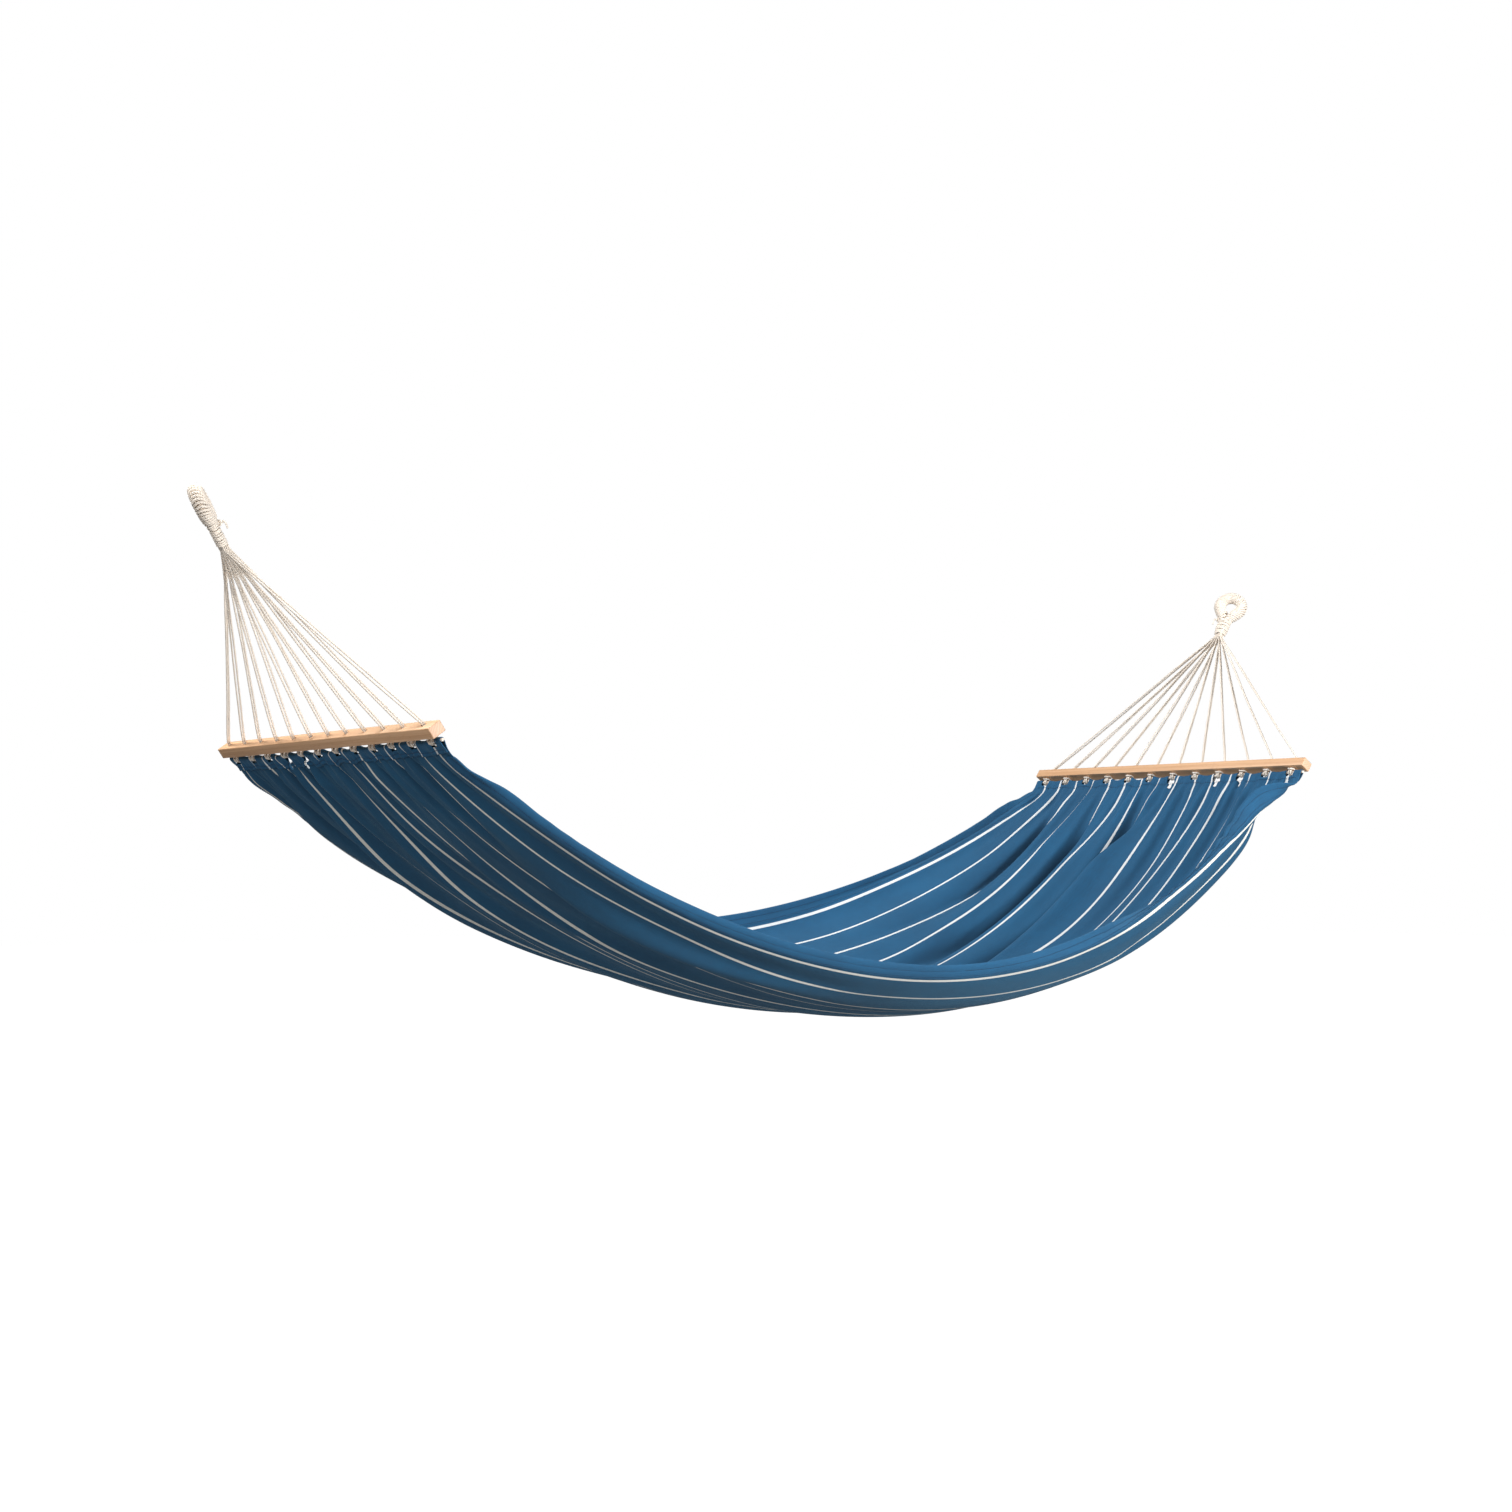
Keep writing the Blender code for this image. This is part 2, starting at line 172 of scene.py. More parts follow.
# folds: (place at the bar, place at mid-bed, half width, height, lean, distance of the peak, reach)
# places and widths are shares of the cloth's width from the near edge; a negative height is a valley
RIGHT_FOLDS = (
    (0.125, 0.125, 0.030, -0.030, -0.2, 0.12, 0.80), (0.280, 0.29, 0.070, 0.012, 0.2, 0.30, 0.90),
    (0.460, 0.49, 0.036, 0.038, 0.9, 0.20, 1.03), (0.535, 0.57, 0.030, -0.060, 0.2, 0.20, 1.03),
    (0.615, 0.64, 0.036, 0.022, 0.5, 0.18, 0.95), (0.700, 0.72, 0.025, -0.042, 0.3, 0.18, 0.98),
    (0.765, 0.77, 0.030, 0.018, 0.5, 0.15, 0.80), (0.850, 0.84, 0.022, -0.028, 0.2, 0.12, 0.62),
    (0.915, 0.91, 0.024, 0.008, 0.0, 0.16, 0.50))
LEFT_FOLDS = (
    (0.075, 0.08, 0.028, 0.008, 0.0, 0.25, 0.90), (0.145, 0.14, 0.026, -0.026, 0.1, 0.38, 1.05),
    (0.230, 0.22, 0.036, 0.012, 0.2, 0.30, 1.02), (0.325, 0.31, 0.026, -0.018, 0.0, 0.32, 1.02),
    (0.420, 0.41, 0.040, 0.014, -0.2, 0.28, 0.95), (0.520, 0.51, 0.026, -0.018, 0.1, 0.30, 0.98),
    (0.620, 0.61, 0.038, 0.012, 0.2, 0.26, 0.88), (0.720, 0.71, 0.028, -0.018, 0.1, 0.26, 0.88),
    (0.830, 0.82, 0.034, 0.012, 0.0, 0.22, 0.75), (0.910, 0.91, 0.022, -0.010, 0.0, 0.18, 0.60))

# gathers at the cords: heights, and the distance from the bar over which each kind dies away
FINE_AT_CORDS = 0.0014
FINE_HEIGHT = 0.0028
FINE_FADE = 0.10
SCALLOP_HEIGHT = 0.010
SCALLOP_FADE = 0.15
LONG_FOLD_HEIGHT = 0.009
LONG_FOLD_FADE = 0.35

# side edges: both roll inward, the near right one further, and both are ruffled
LIP_WIDTH = 0.068
LIP_RADIUS = 0.040
LIP_SHARE = 0.45
LIP_EXTRA = 1.3
RUFFLE_WIDTH = 0.034
NEAR_RUFFLES = {"left": 0.0010, "right": 0.0058}
NEAR_RUFFLE_PITCH = 0.041
FAR_RUFFLE = 0.0022
FAR_RUFFLE_PITCH = 0.061

# cloth simulation, and the most that it may move any point
SIM_FRAMES = 16
SIM_CAP = 0.009
CLOTH_SETTINGS = {"quality": 6, "mass": 0.15, "tension_stiffness": 30, "compression_stiffness": 12,
                  "shear_stiffness": 4, "bending_stiffness": 0.35, "air_damping": 6, "tension_damping": 20,
                  "compression_damping": 20}
CLOTH_GRAVITY = 0.12

# studio: lights are (name, place, size, power)
FLOOR_HEIGHT = -0.9
FLOOR_SIZE = 60
WORLD_LIGHT = 0.12
LIGHT_AIM = Vector((0, 0, 0.4))
LIGHTS = (("key", (-2.4, 1.2, 3.6), 1.1, 200), ("fill", (-4.0, -3.0, 2.4), 2.5, 105),
          ("front", (1.2, -4.0, 0.8), 1.5, 190))


def unit(vectors):
    """Each vector at length 1."""
    return vectors / np.linalg.norm(vectors, axis=-1, keepdims=True)


def table(across, along):
    """Rows x columns x 2 array of every pair."""
    return np.stack(np.broadcast_arrays(across[None, :], along[:, None]), axis=-1)


def smooth(x, low, high):
    """Smooth step from 0 at low to 1 at high."""
    share = np.clip((x - low) / (high - low), 0, 1)
    return share * share * (3 - 2 * share)


class End:
    """One end of the hammock: along = up the bar's holes or the clew, across = over it."""

    def __init__(self, name):
        self.name = name
        places = {joint["name"]: Vector(joint["pos_m"]) for joint in frame["joints"]}
        self.neck = places[f"{name}_neck_swing"]
        low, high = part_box(f"{name}_spreader_bar")
        self.bar_centre = (low + high) / 2
        self.bar_length = high.y - low.y
        self.hem_centre = sum(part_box(f"{name}_hem_cord"), Vector()) / 2
        self.side = math.copysign(1, self.bar_centre.x)
        self.bar_along = (self.bar_centre - self.hem_centre).normalized()
        self.bar_across = self.side * self.bar_along.cross(BAR_LINE)
        self.clew_along = (self.neck - self.bar_centre).normalized()
        self.clew_across = self.side * self.clew_along.cross(BAR_LINE)
        self.eye_side = BAR_LINE * math.cos(EYE_TWIST) + self.clew_across * math.sin(EYE_TWIST)
        self.eye_across = self.clew_across * math.cos(EYE_TWIST) - BAR_LINE * math.sin(EYE_TWIST)
        self.hem_drop = (self.bar_centre - self.hem_centre).length
        self.holes = [self.hole_y(index) for index in range(CORD_COUNT)]

    def hole_y(self, index):
        """A cord's farthest reach from the middle is at its hole."""
        low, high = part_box(f"{self.name}_cord_{index + 1:02d}")
        return low.y + CORD_RADIUS if -low.y > high.y else high.y - CORD_RADIUS

    def at_bar(self, along, y, across):
        return self.bar_centre + self.bar_along * along + self.bar_across * across + Vector((0, y, 0))

    def at_neck(self, along, y, across):
        return self.neck + self.clew_along * along + self.clew_across * across + Vector((0, y, 0))

    def at_eye(self, along, sideways, across):
        return self.neck + self.clew_along * along + self.eye_side * sideways + self.eye_across * across


# ---- node materials

class Graph:
    """A material's node tree with short calls for the nodes used here."""

    def __init__(self, name):
        self.material = bpy.data.materials.new(name)
        self.material.use_nodes = True
        self.tree = self.material.node_tree
        self.shader = self.tree.nodes["Principled BSDF"]
        self.place = self.add("ShaderNodeTexCoord").outputs["Object"]

    def plug(self, value, socket):
        if isinstance(value, bpy.types.NodeSocket):
            self.tree.links.new(value, socket)
        else:
            socket.default_value = value

    def add(self, kind, inputs=(), **settings):
        node = self.tree.nodes.new(kind)
        for key, value in settings.items():
            setattr(node, key, value)
        pairs = inputs.items() if isinstance(inputs, dict) else enumerate(inputs)
        for key, value in pairs:
            self.plug(value, node.inputs[key])
        return node

    def math(self, operation, *values):
        return self.add("ShaderNodeMath", values, operation=operation).outputs[0]

    def total(self, *terms):
        """Sum of (value, weight) pairs."""
        parts = [value if weight == 1 else self.math("MULTIPLY", value, weight) for value, weight in terms]
        result = parts[0]
        for part in parts[1:]:
            result = self.math("ADD", result, part)
        return result

    def remap(self, value, low, high, to_low=0.0, to_high=1.0):
        node = self.add("ShaderNodeMapRange", (value, low, high, to_low, to_high))
        node.interpolation_type = "SMOOTHSTEP"
        return node.outputs[0]

    def mix(self, share, first, second):
        node = self.add("ShaderNodeMix", data_type="RGBA")
        self.plug(share, node.inputs[0])
        self.plug(first, node.inputs[6])
        self.plug(second, node.inputs[7])
        return node.outputs[2]

    def noise(self, vector, scale, detail=2.0, roughness=0.5):
        """Noise texture; scale is one number, or three to stretch it."""
        if isinstance(scale, tuple):
            vector, scale = self.stretch(vector, *scale), 1.0
        inputs = {"Vector": vector, "Scale": scale, "Detail": detail, "Roughness": roughness}
        return self.add("ShaderNodeTexNoise", inputs).outputs[0]

    def stretch(self, vector, x, y, z):
        return self.add("ShaderNodeMapping", {"Vector": vector, "Scale": (x, y, z)}).outputs[0]

    def bump(self, height, distance, strength=1.0):
        node = self.add("ShaderNodeBump", {"Height": height, "Distance": distance, "Strength": strength})
        self.plug(node.outputs[0], self.shader.inputs["Normal"])

    def set(self, **values):
        for key, value in values.items():
            self.plug(value, self.shader.inputs[key.replace("_", " ").title()])


def cotton_material(name, light, shade):
    """Twisted cotton: fibres run along the lay, with slubs and a little dirt. UV = turns round, metres along."""
    g = Graph(name)
    uv = g.add("ShaderNodeUVMap", uv_map="rope").outputs[0]
    fibres = g.noise(uv, (24.0, 160.0, 1.0), 3.0, 0.65)
    slubs = g.noise(uv, (2.0, 45.0, 1.0))
    patches = g.noise(g.place, 9.0)
    tone = g.total((fibres, 0.45), (slubs, 0.35), (patches, 0.3))
    color = g.mix(g.remap(tone, 0.3, 0.8), shade, light)
    g.set(base_color=color, roughness=g.remap(fibres, 0.2, 0.8, 0.82, 0.98), sheen_weight=0.35,
          sheen_roughness=0.5)
    g.bump(g.total((fibres, 1), (slubs, 0.6)), 0.0005, 0.7)
    return g.material


def beech_material():
    """Oiled beech: straight grain along the bar, short ray flecks, rings on the end grain."""
    g = Graph("oiled_beech")
    normal = g.add("ShaderNodeSeparateXYZ", [g.add("ShaderNodeNewGeometry").outputs["Normal"]])
    warp = g.noise(g.place, (20.0, 1.4, 20.0))
    grain = g.noise(g.place, (520.0, 5.0, 520.0), 4.0, 0.6)
    bands = g.noise(g.place, (95.0, 0.9, 95.0))
    flecks = g.noise(g.place, (900.0, 95.0, 900.0), 1.0)
    fleck = g.remap(flecks, 0.66, 0.74)
    tone = g.total((grain, 0.45), (bands, 0.4), (warp, 0.15))
    face = g.mix(g.remap(tone, 0.36, 0.64), (0.60, 0.33, 0.165, 1), (0.80, 0.50, 0.29, 1))
    face = g.mix(g.math("MULTIPLY", fleck, 0.4), face, (0.36, 0.16, 0.07, 1))
    turned = g.stretch(g.place, 1.0, 0.15, 1.0)
    rings = g.add("ShaderNodeTexWave", {"Vector": turned, "Scale": 95.0, "Distortion": 5.0, "Detail": 2.0},
                  bands_direction="DIAGONAL").outputs[1]
    end = g.mix(g.total((rings, 0.4), (flecks, 0.5)), (0.62, 0.36, 0.22, 1), (0.82, 0.56, 0.39, 1))
    is_end = g.remap(g.math("ABSOLUTE", normal.outputs[1]), 0.75, 0.95)
    g.set(base_color=g.mix(is_end, face, end), roughness=g.remap(grain, 0.2, 0.8, 0.42, 0.62), coat_weight=0.08,
          coat_roughness=0.4)
    g.bump(g.total((grain, 1), (fleck, -0.5)), 0.00025, 0.6)
    return g.material


def darker(color, share):
    """The colour at a share of its brightness."""
    return tuple(channel * share for channel in color[:3]) + (1,)


def canvas_material(name, ground, ground_dark, stripe):
    """Plain-woven canvas with woven-in stripes, and painted shade in its hollows. UV = metres across the cloth and
    along it.
    """
    g = Graph(name)
    uv = g.add("ShaderNodeUVMap", uv_map="cloth").outputs[0]
    parts = g.add("ShaderNodeSeparateXYZ", [uv])
    across, along = parts.outputs[0], parts.outputs[1]
    shifted = g.math("SUBTRACT", across, STRIPE_MARGIN)
    to_thick = g.math("PINGPONG", shifted, STRIPE_SPACING)
    to_thin = g.math("SUBTRACT", STRIPE_SPACING, to_thick)
    thick = g.remap(to_thick, THICK_STRIPE / 2 + STRIPE_BLUR, THICK_STRIPE / 2 - STRIPE_BLUR)
    thin = g.remap(to_thin, THIN_STRIPE / 2 + STRIPE_BLUR, THIN_STRIPE / 2 - STRIPE_BLUR)
    is_stripe = g.math("MAXIMUM", thick, thin)
    turn = TURN / WEAVE_PITCH
    warp = g.math("SINE", g.math("MULTIPLY", across, turn))
    weft = g.math("SINE", g.math("MULTIPLY", along, turn))
    weave = g.math("MULTIPLY", warp, weft)
    warp_slub = g.noise(uv, (1500.0, 45.0, 1.0))
    weft_slub = g.noise(uv, (45.0, 1500.0, 1.0))
    wash = g.noise(g.place, 5.0, 3.0, 0.6)
    tone = g.total((warp_slub, 0.4), (weft_slub, 0.25), (wash, 0.35), (weave, 0.06))
    blue = g.mix(g.remap(tone, 0.36, 0.64), ground_dark, ground)
    # painted shade: ambient occlusion darkens the blue where the cloth lies in a hollow
    painted_shade_openness = g.add("ShaderNodeAmbientOcclusion", {"Distance": PAINTED_SHADE_REACH}, samples=12,
                       only_local=True).outputs["AO"]
    blue = g.mix(g.remap(painted_shade_openness, 0.45, 0.92), darker(ground, PAINTED_SHADE_SHARE), blue)
    white = g.mix(g.remap(tone, 0.4, 0.6), darker(stripe, DULL_STRIPE), stripe)
    g.set(base_color=g.mix(is_stripe, blue, white), roughness=g.remap(tone, 0.3, 0.7, 0.78, 0.92),
          sheen_weight=0.15, sheen_roughness=0.45, sheen_tint=(0.3, 0.6, 0.8, 1))
    slubs = g.math("ADD", warp_slub, weft_slub)
    g.bump(g.total((weave, 0.5), (is_stripe, 0.5), (slubs, 0.8)), 0.00022, 0.6)
    return g.material


def thread_material():
    """Navy sewing thread with a fine twist."""
    g = Graph("navy_thread")
    twist = g.noise(g.place, (900.0, 900.0, 900.0))
    g.set(base_color=g.mix(twist, (0.006, 0.022, 0.06, 1), (0.014, 0.045, 0.11, 1)), roughness=0.75)
    g.bump(twist, 0.0002, 0.6)
    return g.material


def floor_material():
    """Pale floor that glows to the camera alone, so that it ends without a line."""
    g = Graph("pale_floor")
    speck = g.noise(g.place, 3.0, 3.0)
    seen = g.add("ShaderNodeLightPath").outputs["Is Camera Ray"]
    g.set(base_color=g.mix(speck, (0.28, 0.28, 0.28, 1), (0.32, 0.32, 0.32, 1)), roughness=0.9,
          emission_color=(1, 1, 1, 1), emission_strength=seen)
    return g.material


# ---- meshes

def ride(piece, end, body):
    """Give a piece the body of one end that carries it."""
    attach(piece, f"{end.name}_{body}")


@contextmanager
def editing(mesh):
    """The mesh as a bmesh, written back when the block ends."""
    bm = bmesh.new()
    bm.from_mesh(mesh)
    yield bm
    bm.to_mesh(mesh)
    bm.free()


def add_object(name, data):
    """A new object in the scene."""
    thing = bpy.data.objects.new(name, data)
    bpy.context.scene.collection.objects.link(thing)
    return thing


def finished_mesh(piece):
    """The piece's mesh with its modifiers applied."""
    return bpy.data.meshes.new_from_object(piece.evaluated_get(bpy.context.evaluated_depsgraph_get()))


def read(items, key, size, kind=np.float32):
    """One property of every item, size numbers each."""
    values = np.zeros(len(items) * size, kind)
    items.foreach_get(key, values)
    return values


def add_piece(name, mesh, materials):
    piece = add_object(name, mesh)
    for material in materials:
        mesh.materials.append(material)
    return piece


def cell_corners(grid, keep):
    """The grid's values at the four corners of each cell that is kept."""
    corners = np.stack([grid[:-1, :-1], grid[:-1, 1:], grid[1:, 1:], grid[1:, :-1]], axis=2)
    corners = corners.reshape(-1, *corners.shape[2:])
    return corners if keep is None else corners[keep.ravel()]


def grid_mesh(name, points, uvs=None, keep=None, close_across=False, layer="cloth"):
    """A mesh from a rows x columns x 3 array. keep marks the cells to build.

    uvs is rows x columns x 2, with the first column again at the end when the mesh closes across.
    """
    rows, columns = points.shape[:2]
    index = np.arange(rows * columns).reshape(rows, columns)
    if close_across:
        index = np.concatenate([index, index[:, :1]], axis=1)
    mesh = bpy.data.meshes.new(name)
    mesh.from_pydata(points.reshape(-1, 3).tolist(), [], cell_corners(index, keep).tolist())
    if uvs is not None:
        places = cell_corners(uvs, keep).astype(np.float32)
        mesh.uv_layers.new(name=layer).data.foreach_set("uv", places.ravel())
    with editing(mesh) as bm:
        loose = [vert for vert in bm.verts if not vert.link_faces]
        bmesh.ops.delete(bm, geom=loose, context="VERTS")
    mesh.shade_smooth()
    return mesh


def curve_through(points, step):
    """Evenly spaced points along a smooth curve through the given ones."""
    points = np.array([tuple(point) for point in points], float)
    before = 2 * points[0] - points[1]
    after = 2 * points[-1] - points[-2]
    padded = np.vstack([before, points, after])
    dense = []
    for p0, p1, p2, p3 in zip(padded, padded[1:], padded[2:], padded[3:]):
        length = np.linalg.norm(p2 - p1)
        pieces = max(int(length / step * 2), 4)
        scale0 = min(length / max(np.linalg.norm(p1 - p0), 1e-9), 1.0)
        scale3 = min(length / max(np.linalg.norm(p3 - p2), 1e-9), 1.0)
        m1 = ((p1 - p0) * scale0 + (p2 - p1)) / 2
        m2 = ((p2 - p1) + (p3 - p2) * scale3) / 2
        share = np.arange(pieces)[:, None] / pieces
        h1 = 2 * share**3 - 3 * share**2 + 1
        h2 = share**3 - 2 * share**2 + share
        h3 = share**3 - share**2
        dense.append(h1 * p1 + h2 * m1 + (1 - h1) * p2 + h3 * m2)
    dense.append(points[-1:])
    return evenly(np.vstack(dense), step)


def distances(points):
    """Length of the path from its first point to each point."""
    gaps = np.linalg.norm(np.diff(points, axis=0), axis=1)
    return np.concatenate([[0], np.cumsum(gaps)])


def follow(values, distance, wanted):
    """Rows of values, given at distances along a path, read at the wanted distances."""
    return np.stack([np.interp(wanted, distance, values[:, axis]) for axis in range(3)], axis=-1)


def evenly(points, step):
    """The same path with its points a step apart."""
    distance = distances(points)
    count = max(int(round(distance[-1] / step)), 2)
    return follow(points, distance, np.linspace(0, distance[-1], count + 1))


def path_frames(path):
    """Normal and binormal at each point, carried along without twisting."""
    tangents = unit(np.gradient(path, axis=0))
    helper = np.array([0, 1, 0]) if abs(tangents[0][1]) < 0.9 else np.array([1, 0, 0])
    normal = np.cross(tangents[0], helper)
    normals = []
    for tangent in tangents:
        normal = normal - tangent * normal.dot(tangent)
        normal = normal / math.sqrt(normal.dot(normal))
        normals.append(normal)
    return np.array(normals), np.cross(tangents, normals)


def rope(name, path, radius, material, lay=CORD_LAY, lobes=3, depth=0.15, sides=12):
    """A twisted cord of several strands along a path: a lobed section that turns once every lay."""
    normals, binormals = path_frames(path)
    distance = distances(path)
    radius = np.broadcast_to(radius, distance.shape)
    around = np.arange(sides) / sides * TURN
    swell = 1 - depth / 2 + depth * np.cos(lobes * around)
    turned = around[None, :] + (distance / lay * TURN)[:, None]
    reach = radius[:, None] * swell[None, :]
    points = (path[:, None] + normals[:, None] * (reach * np.cos(turned))[..., None]
              + binormals[:, None] * (reach * np.sin(turned))[..., None])
    uvs = table(np.arange(sides + 1) / sides, distance)
    mesh = grid_mesh(name, points, uvs, close_across=True, layer="rope")
    close_ends(mesh)
    return add_piece(name, mesh, [material])


def close_ends(mesh):
    """Cap the two ends of a tube, and turn its faces outward."""
    with editing(mesh) as bm:
        open_edges = [edge for edge in bm.edges if edge.is_boundary]
        bmesh.ops.holes_fill(bm, edges=open_edges, sides=0)
        bmesh.ops.recalc_face_normals(bm, faces=bm.faces)
        for face in bm.faces:
            face.smooth = True


# ---- clews: cords, bars, hem cords

def neck_place(index):
    """Where a cord sits in the neck: sideways and across, in two layers."""
    column = index // 2 - (NECK_COLUMNS - 1) / 2
    layer = -1 if index % 2 == 0 else 1
    return column * NECK_COLUMN_PITCH, layer * NECK_LAYER_PITCH / 2


def strand_points(end, index, y, sign, random):
    """One strand of a doubled cord, from inside the whipping down to the top of its bar hole."""
    neck_y, layer = neck_place(index)
    neck_across = layer + sign * PAIR_OFFSET_AT_NECK
    inside = end.at_eye(CORD_TOP, neck_y * 1.05, neck_across * 0.72)
    top = end.at_neck(NECK_TOP, neck_y, neck_across * 0.95)
    fan = end.at_neck(FAN_START, neck_y, neck_across)
    hole = end.at_bar(BAR_DEPTH / 2 + 0.004, y, sign * PAIR_OFFSET)
    points = [inside, top, fan]
    for share in (0.25, 0.5, 0.75):
        bow = random.uniform(-1, 1, 2) * CORD_BOW * math.sin(math.pi * share)
        points.append(fan.lerp(hole, share) + end.clew_across * (sign * 0.0006 + bow[0]) + Vector((0, bow[1], 0)))
    return points + [hole]


def hitch_points(end, y, sign):
    """Half of the hitch that grips the hem cord: down the leg, under, up the back and over the top.

    Steps are (along, sideways in millimetres, across).
    """
    level = -end.hem_drop
    turn = HITCH_RADIUS
    steps = [
        (-BAR_DEPTH / 2 + 0.004, 1.95, 0.0008), (-BAR_DEPTH / 2 - 0.001, 2.0, 0.0022),
        (level + 0.0035, 2.0, turn - 0.0004), (level, 2.1, turn), (level - 0.7 * turn, 2.5, 0.7 * turn),
        (level - turn, 3.3, 0), (level - 0.7 * turn, 4.3, -0.7 * turn), (level, 5.3, -turn),
        (level + 0.7 * turn, 6.1, -0.7 * turn), (level + turn, 6.4, 0), (level + 0.75 * turn, 6.0, 0.8 * turn),
        (level + 0.0030, 4.2, turn + 0.0030), (level + 0.0024, 2.0, turn + 0.0038)]
    return [end.at_bar(along, y + sign * sideways * 0.001, across) for along, sideways, across in steps]


def doubled_cord(end, index, random, material):
    """One cord: down through the bar, hitched round the hem cord, and back up beside itself."""
    y = end.holes[index]
    down = strand_points(end, index, y, 1, random) + hitch_points(end, y, 1)
    up = strand_points(end, index, y, -1, random) + hitch_points(end, y, -1)
    middle = end.at_bar(-end.hem_drop + 0.0023, y, HITCH_RADIUS + 0.0040)
    path = curve_through(down + [middle] + up[::-1], ROPE_STEP)
    from_neck = np.abs((path - np.array(end.neck)) @ np.array(end.clew_along))
    radius = CORD_RADIUS_AT_NECK + (CORD_RADIUS - CORD_RADIUS_AT_NECK) * smooth(from_neck, 0.01, 0.08)
    cord = rope(f"{end.name}_doubled_cord_{index + 1:02d}", path, radius, material)
    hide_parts(f"{end.name}_cord_{index + 1:02d}")
    end.at_neck(NECK_TOP, 0, 0)
    end.at_neck(CORD_BEND, 0, 0)
    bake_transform(cord)


def hem_sag(end, y):
    """How far the load draws the hem cord away from the bar between its hitches."""
    bay = (np.asarray(y) - end.holes[0]) / (end.holes[1] - end.holes[0])
    number = np.clip(np.floor(bay), 0, CORD_COUNT - 2).astype(int)
    inside_bays = (bay > 0) & (bay < CORD_COUNT - 1)
    return np.array(HEM_SAGS[end.name])[number] * np.sin(math.pi * (bay - number)) ** 2 * inside_bays


def hem_cord(end, material):
    """The cord inside the casing, drawn down between the hitches."""
    low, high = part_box(f"{end.name}_hem_cord")
    spots = np.linspace(low.y, high.y, 120)
    points = [end.at_bar(-end.hem_drop - sag, y, 0) for y, sag in zip(spots, hem_sag(end, spots))]
    cord = rope(f"{end.name}_hem_rope", curve_through(points, ROPE_STEP), HEM_CORD_RADIUS, material, HEM_CORD_LAY)
    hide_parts(f"{end.name}_hem_cord")
    ride(cord, end, "clew")


def bar_mesh(end):
    """A batten with eased edges."""
    mesh = bpy.data.meshes.new(f"{end.name}_beech_bar")
    with editing(mesh) as bm:
        bmesh.ops.create_cube(bm, size=1.0, matrix=Matrix.Diagonal((BAR_DEPTH, end.bar_length, BAR_WIDTH, 1)))
        bmesh.ops.bevel(bm, geom=list(bm.edges), offset=BAR_EDGE, segments=3, profile=0.5, affect="EDGES")
    return mesh


def hole_cutter_mesh(end):
    """The bar's holes, and a cone at each of their mouths."""
    mesh = bpy.data.meshes.new("hole_cutter")
    upright = Matrix.Rotation(math.pi / 2, 4, "Y")
    face = BAR_DEPTH / 2
    cone_reach = 0.002
    wide = HOLE_RADIUS + HOLE_CHAMFER + cone_reach
    with editing(mesh) as bm:
        for y in end.holes:
            for low, high, radius_low, radius_high in (
                    (-face - cone_reach, -face + HOLE_CHAMFER, wide, HOLE_RADIUS),
                    (face - HOLE_CHAMFER, face + cone_reach, HOLE_RADIUS, wide),
                    (-face - 2 * cone_reach, face + 2 * cone_reach, HOLE_RADIUS, HOLE_RADIUS)):
                place = Matrix.Translation(((low + high) / 2, y, 0)) @ upright
                bmesh.ops.create_cone(bm, cap_ends=True, segments=32, radius1=radius_low, radius2=radius_high,
                                      depth=high - low, matrix=place)
    return mesh


def beech_bar(end, material):
    """The spreader bar: a beech batten with eased edges and a row of chamfered holes."""
    turn = Matrix((end.bar_along, BAR_LINE, end.bar_along.cross(BAR_LINE)))
    place = Matrix.Translation(end.bar_centre) @ turn.transposed().to_4x4()
    bar = add_piece(f"{end.name}_beech_bar", bar_mesh(end), [material])
    cutter = add_piece("hole_cutter", hole_cutter_mesh(end), [])
    bar.matrix_world = place
    cutter.matrix_world = place
    holes = bar.modifiers.new("holes", "BOOLEAN")
    holes.operation = "DIFFERENCE"
    holes.solver = "EXACT"
    holes.use_self = True
    holes.object = cutter
    bpy.context.view_layer.update()
    cut = finished_mesh(bar)
    bar.modifiers.clear()
    bar.data = cut
    cut.shade_smooth()
    cut.set_sharp_from_angle(angle=math.radians(32))
    bpy.data.objects.remove(cutter, do_unlink=True)
    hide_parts(f"{end.name}_spreader_bar")
    ride(bar, end, "clew")


# ---- eyes

def eye_path():
    """Centre line of the eye as (along, sideways) pairs: up one leg, round the loop, down the other."""
    top_centre = EYE_TOP - EYE_LOOP_RADIUS
    half = [(EYE_START, EYE_LEG_OFFSET), (EYE_LEG_TOP - 0.008, EYE_LEG_OFFSET)]
    for share in (0.0, 0.2, 0.4, 0.6, 0.8):
        along = EYE_LEG_TOP + (top_centre - EYE_LEG_TOP) * share
        half.append((along, EYE_LEG_OFFSET + (EYE_LOOP_RADIUS - EYE_LEG_OFFSET) * smooth(share, 0, 1)))
    for step in range(7):
        angle = math.pi / 2 * step / 7
        half.append((top_centre + EYE_LOOP_RADIUS * math.sin(angle), EYE_LOOP_RADIUS * math.cos(angle)))
    return half + [(EYE_TOP, 0)] + [(along, -y) for along, y in reversed(half)]


